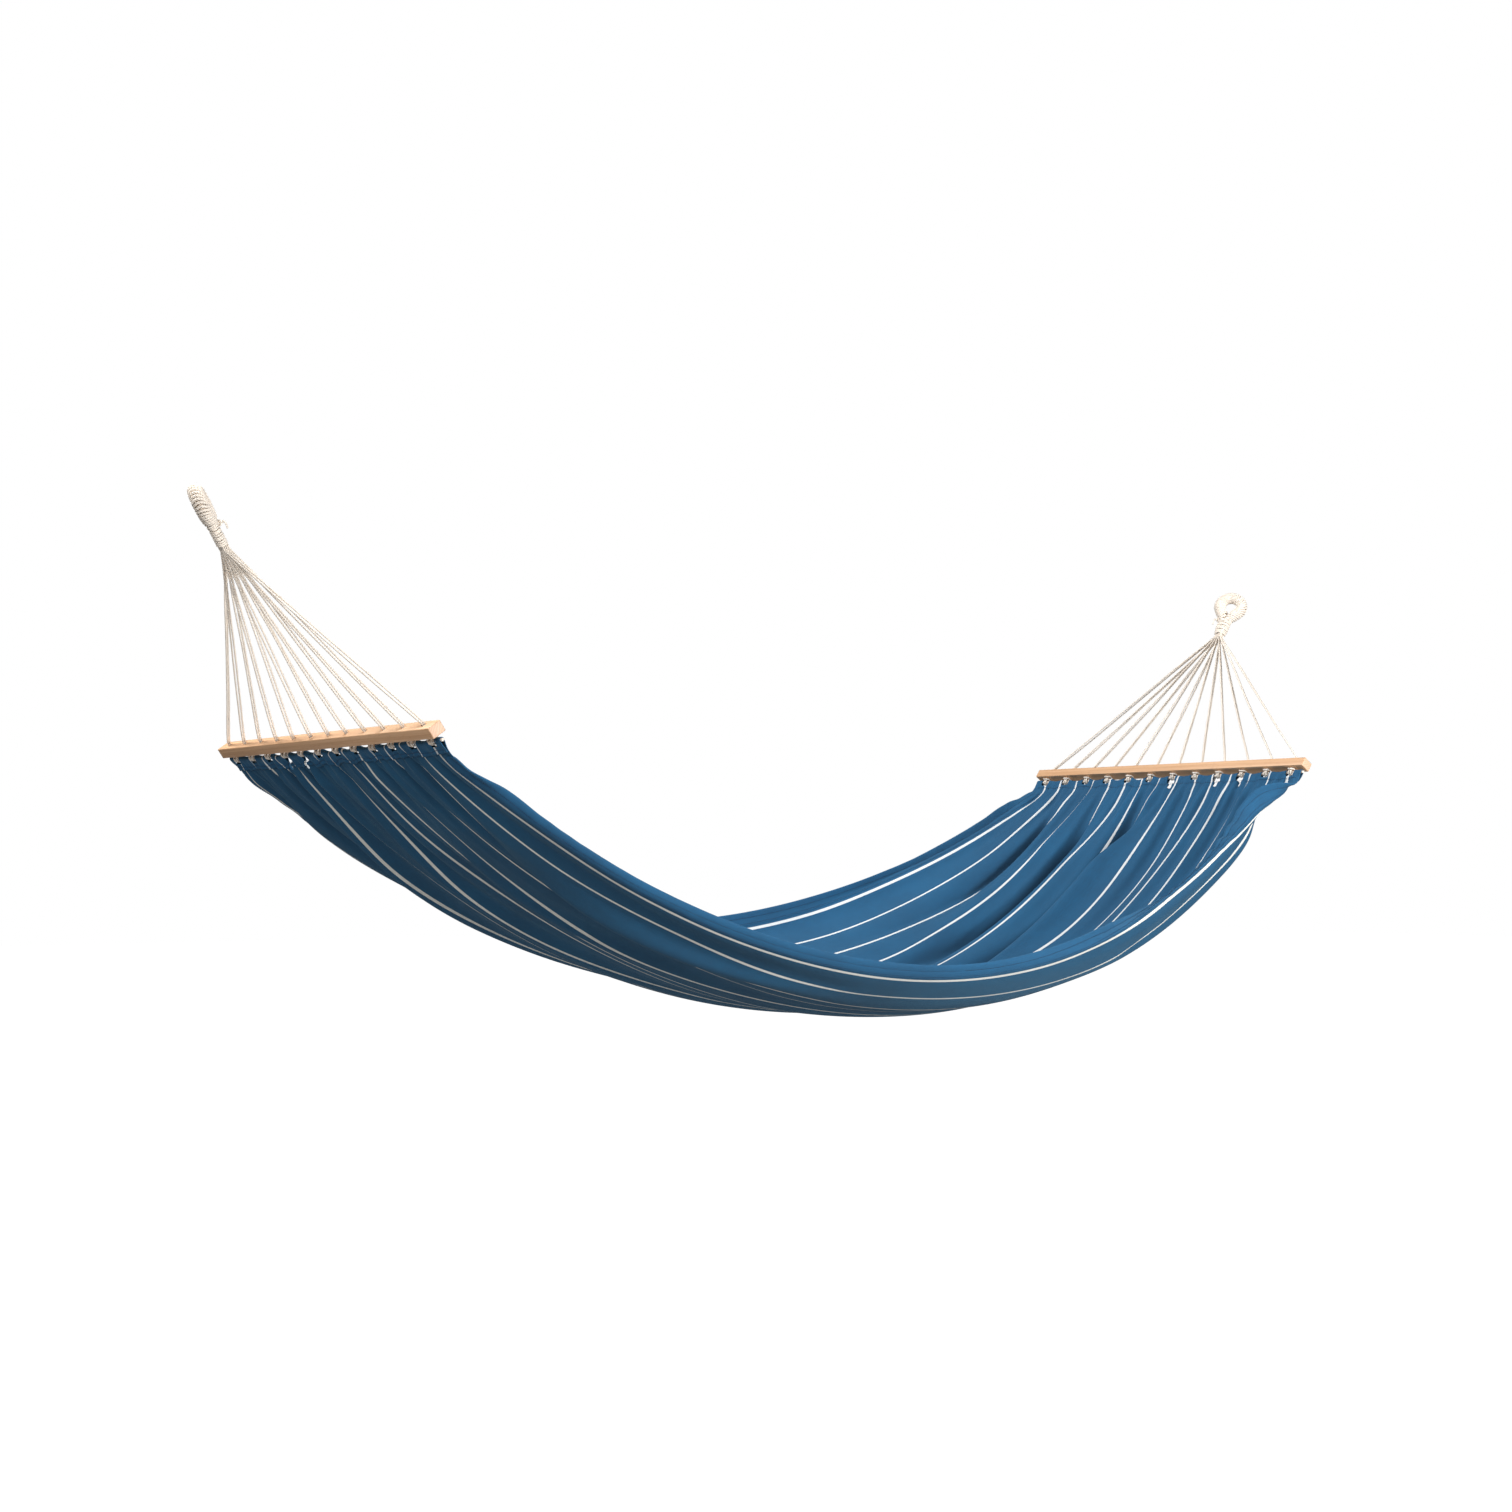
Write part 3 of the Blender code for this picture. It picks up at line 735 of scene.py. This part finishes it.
def build_eye(end, cotton, core_cotton_painted_shade):
    """The bundle bent into a loop, the cord served round it, and the whipping at its neck."""
    path = curve_through([end.at_eye(along, y, 0) for along, y in eye_path()], EYE_STEP)
    height = (path - np.array(end.neck)) @ np.array(end.clew_along)
    radius = EYE_LEG_RADIUS + (EYE_CORE_RADIUS - EYE_LEG_RADIUS) * smooth(height, EYE_LEG_TOP, EYE_LEG_TOP + 0.016)
    core = rope(f"{end.name}_eye_bundle", path, radius, core_cotton_painted_shade, lay=0.30, lobes=9, depth=0.12, sides=36)
    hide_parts(f"{end.name}_eye_core")
    serving = rope(f"{end.name}_eye_wrapping", serving_path(path, radius, height), SERVING_RADIUS, cotton,
                   lay=0.013)
    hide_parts(f"{end.name}_eye_serving")
    whipping = rope(f"{end.name}_neck_lashing", whipping_path(end), WHIPPING_RADIUS, cotton, lay=0.012)
    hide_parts(f"{end.name}_neck_whipping")
    for piece in (core, serving, whipping):
        ride(piece, end, "eye")


def serving_path(path, radius, height):
    """A close coil round the eye, with turns that bunch a little unevenly."""
    normals, binormals = path_frames(path)
    distance = distances(path)
    first = distance[np.argmax(height > EYE_LEG_TOP - 0.002)]
    last = distance[len(height) - 1 - np.argmax(height[::-1] > EYE_LEG_TOP - 0.002)]
    turns = int((last - first) / SERVING_PITCH)
    phase = np.linspace(0, turns, turns * 36 + 1)
    pace = 1 + 0.15 * np.sin(phase * 0.9 + 1.0) * np.sin(phase * 0.37)
    pace = np.concatenate([[0], np.cumsum((pace[1:] + pace[:-1]) / 2)])
    slant = SERVING_SLANT * smooth(phase, 0, 2) * (1 - smooth(phase, turns - 2, turns))
    along = first + (last - first) * pace / pace[-1] + slant * np.sin(phase * TURN)
    wobble = 1 + 0.02 * np.sin(phase * 2.3 + 0.5)
    reach = (np.interp(along, distance, radius) + SERVING_RADIUS * 0.92) * wobble
    angle = phase * TURN
    centre, normal, binormal = (follow(values, distance, along) for values in (path, normals, binormals))
    coil = centre + normal * (reach * np.cos(angle))[:, None] + binormal * (reach * np.sin(angle))[:, None]
    return evenly(coil, ROPE_STEP)


def whipping_path(end):
    """Turns round both legs and the ends of the cords, then a small knot and a tail."""
    wide = EYE_LEG_OFFSET + EYE_LEG_RADIUS + WHIPPING_RADIUS
    thick = EYE_LEG_RADIUS + WHIPPING_RADIUS + 0.0009
    pitch = 2 * WHIPPING_RADIUS * 1.02
    per_turn = 20
    points = []
    for i in range(WHIPPING_TURNS * per_turn + 1):
        angle = TURN * i / per_turn
        lean = 0.0005 * math.sin(angle * 0.37) - 0.0012 * math.cos(2 * angle)
        squared = math.copysign(abs(math.cos(angle)) ** 0.8, math.cos(angle))
        reach = wide - 0.0018 * (1 - smooth(i / per_turn, 0, 4))
        points.append(end.at_eye(WHIPPING_START + pitch * i / per_turn + lean, reach * squared,
                                 thick * math.sin(angle)))
    out, reach = (end.eye_across, thick) if end.side < 0 else (end.eye_side, wide)
    up = end.clew_along
    knot = end.at_eye(WHIPPING_START + pitch * WHIPPING_TURNS, 0, 0) + out * (reach + 0.004)
    knot_steps = 24
    for step in range(knot_steps + 1):
        angle = TURN * step / knot_steps * 0.97
        ring = 0.0026 + 0.0015 * math.cos(3 * angle)
        points.append(knot + out * (ring * math.cos(2 * angle)) + up * (ring * math.sin(2 * angle) * 1.1)
                      + out.cross(up) * (0.0022 * math.sin(3 * angle)))
    points += [knot + out * away + up * rise for away, rise in KNOT_TAIL]
    return curve_through(points, EYE_STEP)


# ---- canvas

def bed_surface(u, v):
    """Middle surface of the hanging bed, as an array of points."""
    fall = 1 - u * u
    middle = (BED_MIDDLE_SAG[0] * fall + BED_MIDDLE_SAG[1] * fall * fall) * (1 + BED_MIDDLE_SKEW * u)
    edge = np.where(v < 0, BED_NEAR_SAG, BED_FAR_SAG) * fall * (1 + BED_EDGE_SKEW * u)
    power = np.where(v < 0, BED_NEAR_POWER, BED_FAR_POWER)
    sag = middle + (edge - middle) * np.abs(v) ** power
    y = v * (BED_END_HALF_WIDTH + BED_EXTRA_HALF_WIDTH * fall)
    half_length = bar_place.x - BED_END_INSET
    height = bar_place.z - BED_END_DROP + BED_LIFT * fall - sag
    return np.stack([u * half_length, y, height], axis=-1)


def bed_directions(u, v):
    """Unit normal (upward) and unit across direction of the bed surface."""
    small = 1e-4
    along = bed_surface(np.minimum(u + small, 1), v) - bed_surface(np.maximum(u - small, -1), v)
    across = unit(bed_surface(u, v + small) - bed_surface(u, v - small))
    return unit(np.cross(along, across)), across


def cloth_columns(holes):
    """Flat cloth position and end-of-bed y of each column, and which cells are cut out at the cords."""
    tab_cloth = (CLOTH_WIDTH - CORD_COUNT * CUT_OUT_CLOTH - 2 * EDGE_CLOTH) / (CORD_COUNT - 1)
    flat = [0.0]
    y = [-BED_END_HALF_WIDTH]
    is_cut = []

    def cells(count, cloth, y_end, cut):
        start, y_start = flat[-1], y[-1]
        for step in range(1, count + 1):
            flat.append(start + cloth * step / count)
            y.append(y_start + (y_end - y_start) * step / count)
            is_cut.append(cut)

    for index, hole in enumerate(holes):
        before = EDGE_CELLS if index == 0 else TAB_CELLS
        cloth = EDGE_CLOTH if index == 0 else tab_cloth
        cells(before, cloth, hole - CUT_OUT_WIDTH / 2, False)
        cells(CUT_OUT_CELLS, CUT_OUT_CLOTH, hole + CUT_OUT_WIDTH / 2, True)
    cells(EDGE_CELLS, EDGE_CLOTH, BED_END_HALF_WIDTH, False)
    return np.array(flat), np.array(y), np.array(is_cut)


def even_across():
    """v at evenly spaced cloth positions across the middle of the bed."""
    v = np.linspace(-1, 1, 401)
    distance = distances(bed_surface(np.zeros_like(v), v))
    return distance / distance[-1], v


def fold_offsets(folds, place, reach):
    """Offsets along the normal and across the cloth. place is the share across, reach the metres from the bar."""
    lift = np.zeros_like(reach)
    shift = np.zeros_like(reach)
    for at_bar, at_middle, width, height, lean, peak, end in folds:
        wander = 0.012 * np.sin(reach * 7 + at_bar * 40)
        centre = at_bar + (at_middle - at_bar) * reach / HALF_LENGTH + wander
        spread = width * (0.72 + 0.45 * smooth(reach, 0.0, 0.8))
        share = (place - centre) / spread
        strength = height * smooth(reach, 0.0, peak) * (1 - smooth(reach, peak, end))
        bell = np.exp(-share * share)
        lift += strength * bell
        shift += lean * np.abs(strength) * bell
    return lift, shift


def gather_offsets(y, reach, end):
    """Fine gathers at the cords, the scallops between them and the folds that grow out of both."""
    random = np.random.RandomState(5 if end.side > 0 else 11)
    pitch = end.holes[1] - end.holes[0]
    cell = (y - end.holes[0]) / pitch
    knots = np.arange(-1, CORD_COUNT + 1)

    def varied(least, span):
        return np.interp(cell, knots, least + span * random.rand(len(knots)))

    local_strength = varied(0.6, 0.8)
    local_phase = varied(0, 1.4)
    fine = np.cos(TURN * (3 * cell + local_phase))
    fine_height = (FINE_AT_CORDS + FINE_HEIGHT * smooth(reach, 0.0, 0.03)) * np.exp(-reach / FINE_FADE)
    scallop = -np.cos(TURN * cell)
    scallop_height = SCALLOP_HEIGHT * smooth(reach, 0.004, 0.05) * np.exp(-reach / SCALLOP_FADE)
    lift = local_strength * (fine * fine_height + scallop * scallop_height)
    long_phase = varied(0, 2.0)
    long_fold = np.cos(TURN * (0.5 * cell + long_phase))
    lift += LONG_FOLD_HEIGHT * long_fold * smooth(reach, 0.04, 0.2) * np.exp(-reach / LONG_FOLD_FADE)
    return lift * (1 - smooth(reach, 0.75, 1.05))


def ruffle_heights(end, reach):
    """Puckers of the near and far hems: strongest on the near side by the right bar."""
    envelope = smooth(reach, 0.02, 0.10) * (1 - smooth(reach, 0.40, 0.85))
    waver = 0.9 * np.sin(reach * 23)
    beat = np.sin(reach * TURN / NEAR_RUFFLE_PITCH + waver) * (0.7 + 0.3 * np.sin(reach * 31 + 1))
    near = NEAR_RUFFLES[end.name] * beat
    far = FAR_RUFFLE * np.sin(reach * TURN / FAR_RUFFLE_PITCH + 1.3)
    return near * envelope, far * envelope


def bed_rows():
    """Distances from the end of the bed to mid-bed, closer together near the bar."""
    share = np.linspace(0, 1, BED_ROWS + 1)
    return HALF_LENGTH * (0.5 * share + 0.5 * share**2)


def both_ways(to_middle):
    """Places along the whole bed, from distances between the left end and mid-bed."""
    return np.concatenate([-to_middle, to_middle[::-1][1:]])


def half_bed(end, flat_line, y_end):
    """Points of one half of the bed, from its end to mid-bed, folded and gathered."""
    share, v_even = even_across()
    v_middle = np.interp(flat_line / CLOTH_WIDTH, share, v_even)
    v_end = y_end / BED_END_HALF_WIDTH
    reach, flat = np.meshgrid(bed_rows(), flat_line, indexing="ij")
    u = end.side * (1 - reach / HALF_LENGTH)
    v = v_end + (v_middle - v_end) * smooth(reach, 0.0, 0.55)
    place = flat / CLOTH_WIDTH
    lift, shift = fold_offsets(RIGHT_FOLDS if end.side > 0 else LEFT_FOLDS, place, reach)
    quiet_edge = smooth(flat, 0.0, 0.06) * smooth(CLOTH_WIDTH - flat, 0.0, 0.06)
    lift, shift = lift * quiet_edge, shift * quiet_edge
    lift += gather_offsets(np.broadcast_to(y_end, v.shape), reach + 0.02, end)
    lift += 0.004 * quiet_edge * np.sin(place * 31 + 2 * u) * smooth(reach, 0.2, 0.7)
    extra = LIP_EXTRA * (1 - smooth(reach, 0.35, 0.9)) if end.side > 0 else 0
    near_ruffle, far_ruffle = ruffle_heights(end, reach)
    for from_edge, inward, roll, ruffle in ((flat, 1, LIP_SHARE + extra, near_ruffle),
                                            (CLOTH_WIDTH - flat, -1, LIP_SHARE, far_ruffle)):
        turned = roll * smooth(reach, 0.0, 0.12)
        length = np.clip(LIP_WIDTH - from_edge, 0, None)
        radius = LIP_RADIUS / np.maximum(turned, 0.001)
        angle = length / radius
        pucker = ruffle * np.exp(-(from_edge / RUFFLE_WIDTH) ** 2)
        lift += radius * (1 - np.cos(angle)) + pucker * np.cos(angle)
        shift += (length - radius * np.sin(angle) + pucker * np.sin(angle)) * inward
    normal, across = bed_directions(u, v)
    points = bed_surface(u, v) + normal * lift[..., None] + across * shift[..., None]
    drawn = hem_sag(end, y_end) * np.exp(-reach / SAG_FADE)
    return points - drawn[..., None] * np.array(end.bar_along)


def relax(points, flat_line):
    """Let the whole bed settle as cloth: its flat size is the woven one, so slack turns into soft folds."""
    rows, columns = points.shape[:2]
    along = both_ways(HALF_LENGTH - bed_rows())
    flat_points = np.stack(np.broadcast_arrays(along[:, None], flat_line[None, :], 0.0), axis=-1)
    sheet = add_piece("settling_cloth", grid_mesh("settling_cloth", points), [])
    sheet.shape_key_add(name="hung")
    flat_key = sheet.shape_key_add(name="flat")
    flat_key.data.foreach_set("co", flat_points.astype(np.float32).ravel())
    held = sheet.vertex_groups.new(name="held")
    ends_held = list(range(columns)) + list(range((rows - 1) * columns, rows * columns))
    held.add(ends_held, 1.0, "REPLACE")
    cloth = sheet.modifiers.new("cloth", "CLOTH")
    for setting, value in CLOTH_SETTINGS.items():
        setattr(cloth.settings, setting, value)
    cloth.settings.vertex_group_mass = "held"
    cloth.settings.rest_shape_key = flat_key
    cloth.settings.effector_weights.gravity = CLOTH_GRAVITY
    cloth.point_cache.frame_start = 1
    cloth.point_cache.frame_end = SIM_FRAMES
    scene = bpy.context.scene
    for number in range(1, SIM_FRAMES + 1):
        scene.frame_set(number)
    settled = sheet.evaluated_get(bpy.context.evaluated_depsgraph_get())
    moved = read(settled.data.vertices, "co", 3)
    scene.frame_set(1)
    bpy.data.objects.remove(sheet, do_unlink=True)
    change = moved.reshape(points.shape).astype(float) - points
    size = np.linalg.norm(change, axis=-1, keepdims=True)
    return points + change * np.minimum(1, SIM_CAP / np.maximum(size, 1e-9))


def wrap_section():
    """Where the cloth runs round the hem cord, as (along, across) pairs from the flap's edge to the bed."""
    section = [(-FLAP_LENGTH, -0.0018), (-0.016, -0.0020), (-SLOT_DEPTH, -0.0030)]
    for step in range(WRAP_STEPS):
        angle = math.radians(-25 + 230 * step / (WRAP_STEPS - 1))
        section.append((WRAP_RADIUS * math.sin(angle), -WRAP_RADIUS * math.cos(angle)))
    return np.array(section + [(-SLOT_DEPTH, 0.0022), (-0.016, 0.0008), (-FLAP_LENGTH, 0.0003)])


def wrap_rows(end, y_end):
    """Rows from the stitched flap, round the hem cord, and down to the start of the bed."""
    section = wrap_section()
    below = np.clip(-section[:, 0], 0, None)[:, None]
    shape = (len(section), len(y_end))
    lift = gather_offsets(np.broadcast_to(y_end, shape), np.broadcast_to(below * 0.85, shape), end)
    outward = unit(section)
    low = smooth(below, 0.0, 0.012)
    moved = section[:, None, :] + outward[:, None, :] * (np.abs(lift) * (1 - low) * 0.6)[..., None]
    moved[..., 1] += lift * low
    hem = np.array(end.hem_centre)
    moved[..., 0] -= hem_sag(end, y_end)
    points = hem + moved[..., :1] * np.array(end.bar_along) + moved[..., 1:] * np.array(end.bar_across)
    points[..., 1] += y_end
    reach = distances(section)
    return points, reach - reach[-1] - BED_START


def cut_cells(end, is_cut, rows):
    """False where the casing is cut out at a cord; a few cut-outs have torn a little deeper."""
    keep = np.ones((rows - 1, len(is_cut)), bool)
    first, last = 2, 2 + WRAP_STEPS + 1
    keep[first:last, is_cut] = False
    cut_columns = np.flatnonzero(is_cut).reshape(CORD_COUNT, CUT_OUT_CELLS)
    for index in DEEP_CUT_OUTS[end.name]:
        keep[first - 1:last + 1, cut_columns[index]] = False
        keep[first - 2:last + 3, cut_columns[index][1:-1]] = False
    return keep


def whole_canvas(ends, bed, flat_line, y_end, is_cut, inside, underside_painted_shade):
    """Flap, casing, bed, casing and flap as one cloth, smoothed and thickened, then parted at mid-bed."""
    left_wrap, reach = wrap_rows(ends[0], y_end)
    right_wrap = wrap_rows(ends[1], y_end)[0][::-1]
    points = np.concatenate([left_wrap, bed, right_wrap])
    to_middle = HALF_LENGTH - np.concatenate([reach, bed_rows()])
    uvs = table(flat_line, both_ways(to_middle))
    left_keep, right_keep = (cut_cells(end, is_cut, len(to_middle)) for end in ends)
    keep = np.concatenate([left_keep, right_keep[::-1]])
    mesh = grid_mesh("canvas", points[:, ::-1], uvs[:, ::-1], keep[:, ::-1])
    sheet = add_piece("canvas", mesh, [inside, underside_painted_shade])
    add_smoothing(sheet)
    thick = sheet.modifiers.new("cloth thickness", "SOLIDIFY")
    thick.thickness = CLOTH_THICKNESS
    thick.offset = 0.0
    thick.material_offset = 1
    for end, half in zip(ends, part_at_middle(sheet, "canvas")):
        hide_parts("fabric_bed", f"{end.name}_end_casing")
        blend_to_bed(half, end)


def part_at_middle(piece, suffix):
    """The left and right halves of a finished piece. Shading is kept from the whole, so no seam shows."""
    whole = finished_mesh(piece)
    bpy.data.objects.remove(piece, do_unlink=True)
    normals = read(whole.corner_normals, "vector", 3)
    uvs = read(whole.uv_layers["cloth"].uv, "vector", 2)
    sizes = read(whole.polygons, "loop_total", 1, int)
    starts = np.concatenate([[0], np.cumsum(sizes)[:-1]])
    along = np.add.reduceat(uvs[1::2], starts) / sizes
    halves = []
    for side, wanted in (("left", along < 0), ("right", along >= 0)):
        mesh = whole.copy()
        mesh.name = f"{side}_{suffix}"
        with editing(mesh) as bm:
            bmesh.ops.delete(bm, geom=[face for face, stay in zip(bm.faces, wanted) if not stay], context="FACES")
        mesh.normals_split_custom_set(normals.reshape(-1, 3)[np.repeat(wanted, sizes)])
        halves.append(add_piece(mesh.name, mesh, []))
    return halves


def add_smoothing(piece):
    """One level of subdivision, on screen and in renders."""
    detail = piece.modifiers.new("smooth cloth", "SUBSURF")
    detail.levels = 1
    detail.render_levels = 1


def hem_profile():
    """(inward, outward from the cloth) pairs round a folded and stitched hem, dipping at each stitch line."""
    top = [(HEM_WIDTH, 0.0007), (HEM_WIDTH - 0.0008, 0.0016)]
    for line in reversed(HEM_STITCH_LINES):
        top += [(line + 0.0018, 0.0019), (line, 0.0011), (line - 0.0018, 0.0019)]
    top += [(0.004, 0.0022), (0.0, 0.0019)]
    return np.array(top + [(-0.0016, 0.0)] + [(inward, -height) for inward, height in reversed(top)])


def hem_points(bed, flat_line, near):
    """Rows of hem sections that follow one side edge of the bed."""
    columns = bed if near else bed[:, ::-1]
    from_edge = flat_line if near else (CLOTH_WIDTH - flat_line)[::-1]
    along = np.gradient(columns, axis=0)
    inward = np.gradient(columns, axis=1)
    normal = unit(np.cross(along, inward))
    normal *= np.sign(normal[..., 2:].mean())
    edge_out = unit(columns[:, 0] - columns[:, 1])
    sections = []
    for inset, height in hem_profile():
        spot, up = (np.array([follow(row, from_edge, max(inset, 0)) for row in rows]) for rows in (columns, normal))
        sections.append(spot + up * height + edge_out * max(-inset, 0))
    return np.stack(sections, axis=1)


def side_hem(ends, bed, flat_line, near, cloth, thread):
    """The folded hem along one side of the bed, and its two rows of stitches on both faces."""
    side = "near" if near else "far"
    points = hem_points(bed, flat_line, near)
    across = 0.004 + np.clip(hem_profile()[:, 0], 0, None) * 0.9
    uvs = table(np.append(across, across[0]), both_ways(HALF_LENGTH - bed_rows()))
    mesh = grid_mesh(f"{side}_hem_band", points, uvs, close_across=True)
    close_ends(mesh)
    band = add_piece(mesh.name, mesh, [cloth])
    add_smoothing(band)
    halves = part_at_middle(band, f"{side}_hem_band")
    stitched = (points[:BED_ROWS + 1], points[BED_ROWS:][::-1])
    for end, half, sections in zip(ends, halves, stitched):
        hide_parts(f"{side}_side_hem")
        stitches = stitch_rows(f"{end.name}_{side}_hem_stitches", sections, thread)
        for piece in (half, stitches):
            blend_to_bed(piece, end)


def stitch_rows(name, hem, thread):
    """Short threads laid in the dips of the hem, on both faces."""
    profile = hem_profile()
    lines = [k for k, inset in enumerate(profile[:, 0]) if inset in HEM_STITCH_LINES]
    softened = (np.roll(hem, 1, axis=1) + 4 * hem + np.roll(hem, -1, axis=1)) / 6
    softened[1:-1] = (softened[:-2] + 4 * softened[1:-1] + softened[2:]) / 6
    verts, faces = [], []
    for k in lines:
        path = curve_through(softened[:, k], STITCH_SPACING)
        opposite = curve_through(softened[:, len(profile) - 1 - k], STITCH_SPACING)
        count = min(len(path), len(opposite))
        add_stitches(path[:count], path[:count] - opposite[:count], verts, faces)
    return stitch_piece(name, verts, faces, thread)


def add_stitches(path, outward, verts, faces):
    """One lens-shaped thread at each point of the path, lying along it."""
    outward = unit(outward)
    heading = unit(np.gradient(path, axis=0))
    sideways = np.cross(heading, outward)
    for spot, out, ahead, aside in zip(path[1:-1], outward[1:-1], heading[1:-1], sideways[1:-1]):
        base = len(verts)
        spot = spot + out * 0.0004
        verts.append(tuple(spot - ahead * STITCH_LENGTH / 2 - out * 0.0003))
        for shift in (-0.25, 0.25):
            ring = spot + ahead * STITCH_LENGTH * shift
            verts += [tuple(ring + aside * STITCH_WIDTH / 2), tuple(ring + out * STITCH_WIDTH * 0.4),
                      tuple(ring - aside * STITCH_WIDTH / 2), tuple(ring - out * STITCH_WIDTH * 0.4)]
        verts.append(tuple(spot + ahead * STITCH_LENGTH / 2 - out * 0.0003))
        for k in range(4):
            after = (k + 1) % 4
            faces.append((base, base + 1 + after, base + 1 + k))
            faces.append((base + 1 + k, base + 1 + after, base + 5 + after, base + 5 + k))
            faces.append((base + 9, base + 5 + k, base + 5 + after))


def stitch_piece(name, verts, faces, thread):
    """One piece from all the stitches of a seam."""
    mesh = bpy.data.meshes.new(name)
    mesh.from_pydata(verts, [], faces)
    with editing(mesh) as bm:
        bmesh.ops.recalc_face_normals(bm, faces=bm.faces)
    mesh.shade_smooth()
    return add_piece(name, mesh, [thread])


def flap_stitches(end, y_end, thread):
    """A row of stitches along the flap's edge, on each face of the cloth."""
    wrap = wrap_rows(end, y_end)[0]
    verts, faces = [], []
    for row, facing in ((1, -1), (len(wrap) - 2, 1)):
        fine = (wrap[row - 1] + wrap[row] * 2 + wrap[row + 1]) / 4
        fine[1:-1] = (fine[:-2] + 4 * fine[1:-1] + fine[2:]) / 6
        path = curve_through(fine[1:-1], STITCH_SPACING)
        out = np.broadcast_to(np.array(end.bar_across) * facing, path.shape)
        add_stitches(path + out * 0.0006, out, verts, faces)
    stitches = stitch_piece(f"{end.name}_casing_stitches", verts, faces, thread)
    ride(stitches, end, "clew")


def canvas(ends, inside, underside_painted_shade, thread):
    """The whole canvas: shaped and settled as one cloth, with its hems and stitching."""
    flat_line, y_end, is_cut = cloth_columns(ends[0].holes)
    left, right = (half_bed(end, flat_line, y_end) for end in ends)
    bed = np.concatenate([left, right[::-1][1:]])
    bed = relax(bed, flat_line)
    whole_canvas(ends, bed, flat_line, y_end, is_cut, inside, underside_painted_shade)
    for end in ends:
        flap_stitches(end, y_end, thread)
    for near in (True, False):
        side_hem(ends, bed, flat_line, near, inside, thread)


def blend_to_bed(piece, end):
    """Bake the piece's place into its mesh; both ends are treated alike."""
    if end.side < 0:
        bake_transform(piece)
    else:
        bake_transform(piece)


# ---- studio

def add_stage():
    """Floor, lights, and a world that is white to the camera and dim to everything else."""
    bpy.ops.mesh.primitive_plane_add(size=FLOOR_SIZE, location=(0, 0, FLOOR_HEIGHT))
    floor = bpy.context.object
    floor.name = "floor"
    floor.data.materials.append(floor_material())
    world = bpy.data.worlds.new("studio")
    bpy.context.scene.world = world
    world.use_nodes = True
    tree = world.node_tree
    background = tree.nodes["Background"]
    background.inputs["Color"].default_value = (1, 1, 1, 1)
    paths = tree.nodes.new("ShaderNodeLightPath")
    strength = tree.nodes.new("ShaderNodeMapRange")
    strength.inputs["To Min"].default_value = WORLD_LIGHT
    strength.inputs["To Max"].default_value = 1.0
    tree.links.new(paths.outputs["Is Camera Ray"], strength.inputs["Value"])
    tree.links.new(strength.outputs[0], background.inputs["Strength"])
    for name, place, size, power in LIGHTS:
        add_light(name, place, size, power)
    view = bpy.context.scene.view_settings
    view.view_transform = "Standard"
    view.look = "None"


def add_light(name, place, size, power):
    data = bpy.data.lights.new(name, "AREA")
    data.size = size
    data.energy = power
    light = add_object(name, data)
    light.location = place
    light.rotation_euler = (LIGHT_AIM - Vector(place)).to_track_quat("-Z", "Y").to_euler()


def add_camera():
    data = bpy.data.cameras.new("camera")
    data.lens = CAMERA_LENS
    data.sensor_width = CAMERA_SENSOR
    camera = add_object("camera", data)
    camera.location = CAMERA_PLACE
    camera.rotation_euler = (math.pi / 2 + CAMERA_PITCH, 0, -CAMERA_YAW)
    bpy.context.scene.camera = camera


ends = [End("left"), End("right")]
bar_place = ends[1].bar_centre
cotton = cotton_material("cotton_cord_twisted", (0.97, 0.89, 0.79, 1), (0.82, 0.71, 0.60, 1))
# the eye's bundle is the cords' own cotton in a darker copy: painted shade between the serving's turns
cotton_core_painted_shade = cotton_material("cotton_bundle_painted_shade", (0.88, 0.78, 0.66, 1), (0.66, 0.55, 0.44, 1))
beech = beech_material()
# the underside takes the inside's colours a little darker, with creamier stripes: painted shade, as the woven cloth
# is alike on both faces
inside = canvas_material("canvas_inside", (0.010, 0.104, 0.228, 1), (0.005, 0.070, 0.160, 1), (0.83, 0.85, 0.85, 1))
underside_painted_shade = canvas_material("canvas_underside", (0.008, 0.090, 0.188, 1), (0.004, 0.058, 0.130, 1),
                            (0.82, 0.80, 0.74, 1))
for end in ends:
    draws = np.random.RandomState(7 if end.side > 0 else 3)
    build_eye(end, cotton, cotton_core_painted_shade)
    for index in range(CORD_COUNT):
        doubled_cord(end, index, draws, cotton)
    hem_cord(end, cotton)
    beech_bar(end, beech)
canvas(ends, inside, underside_painted_shade, thread_material())
add_stage()
add_camera()
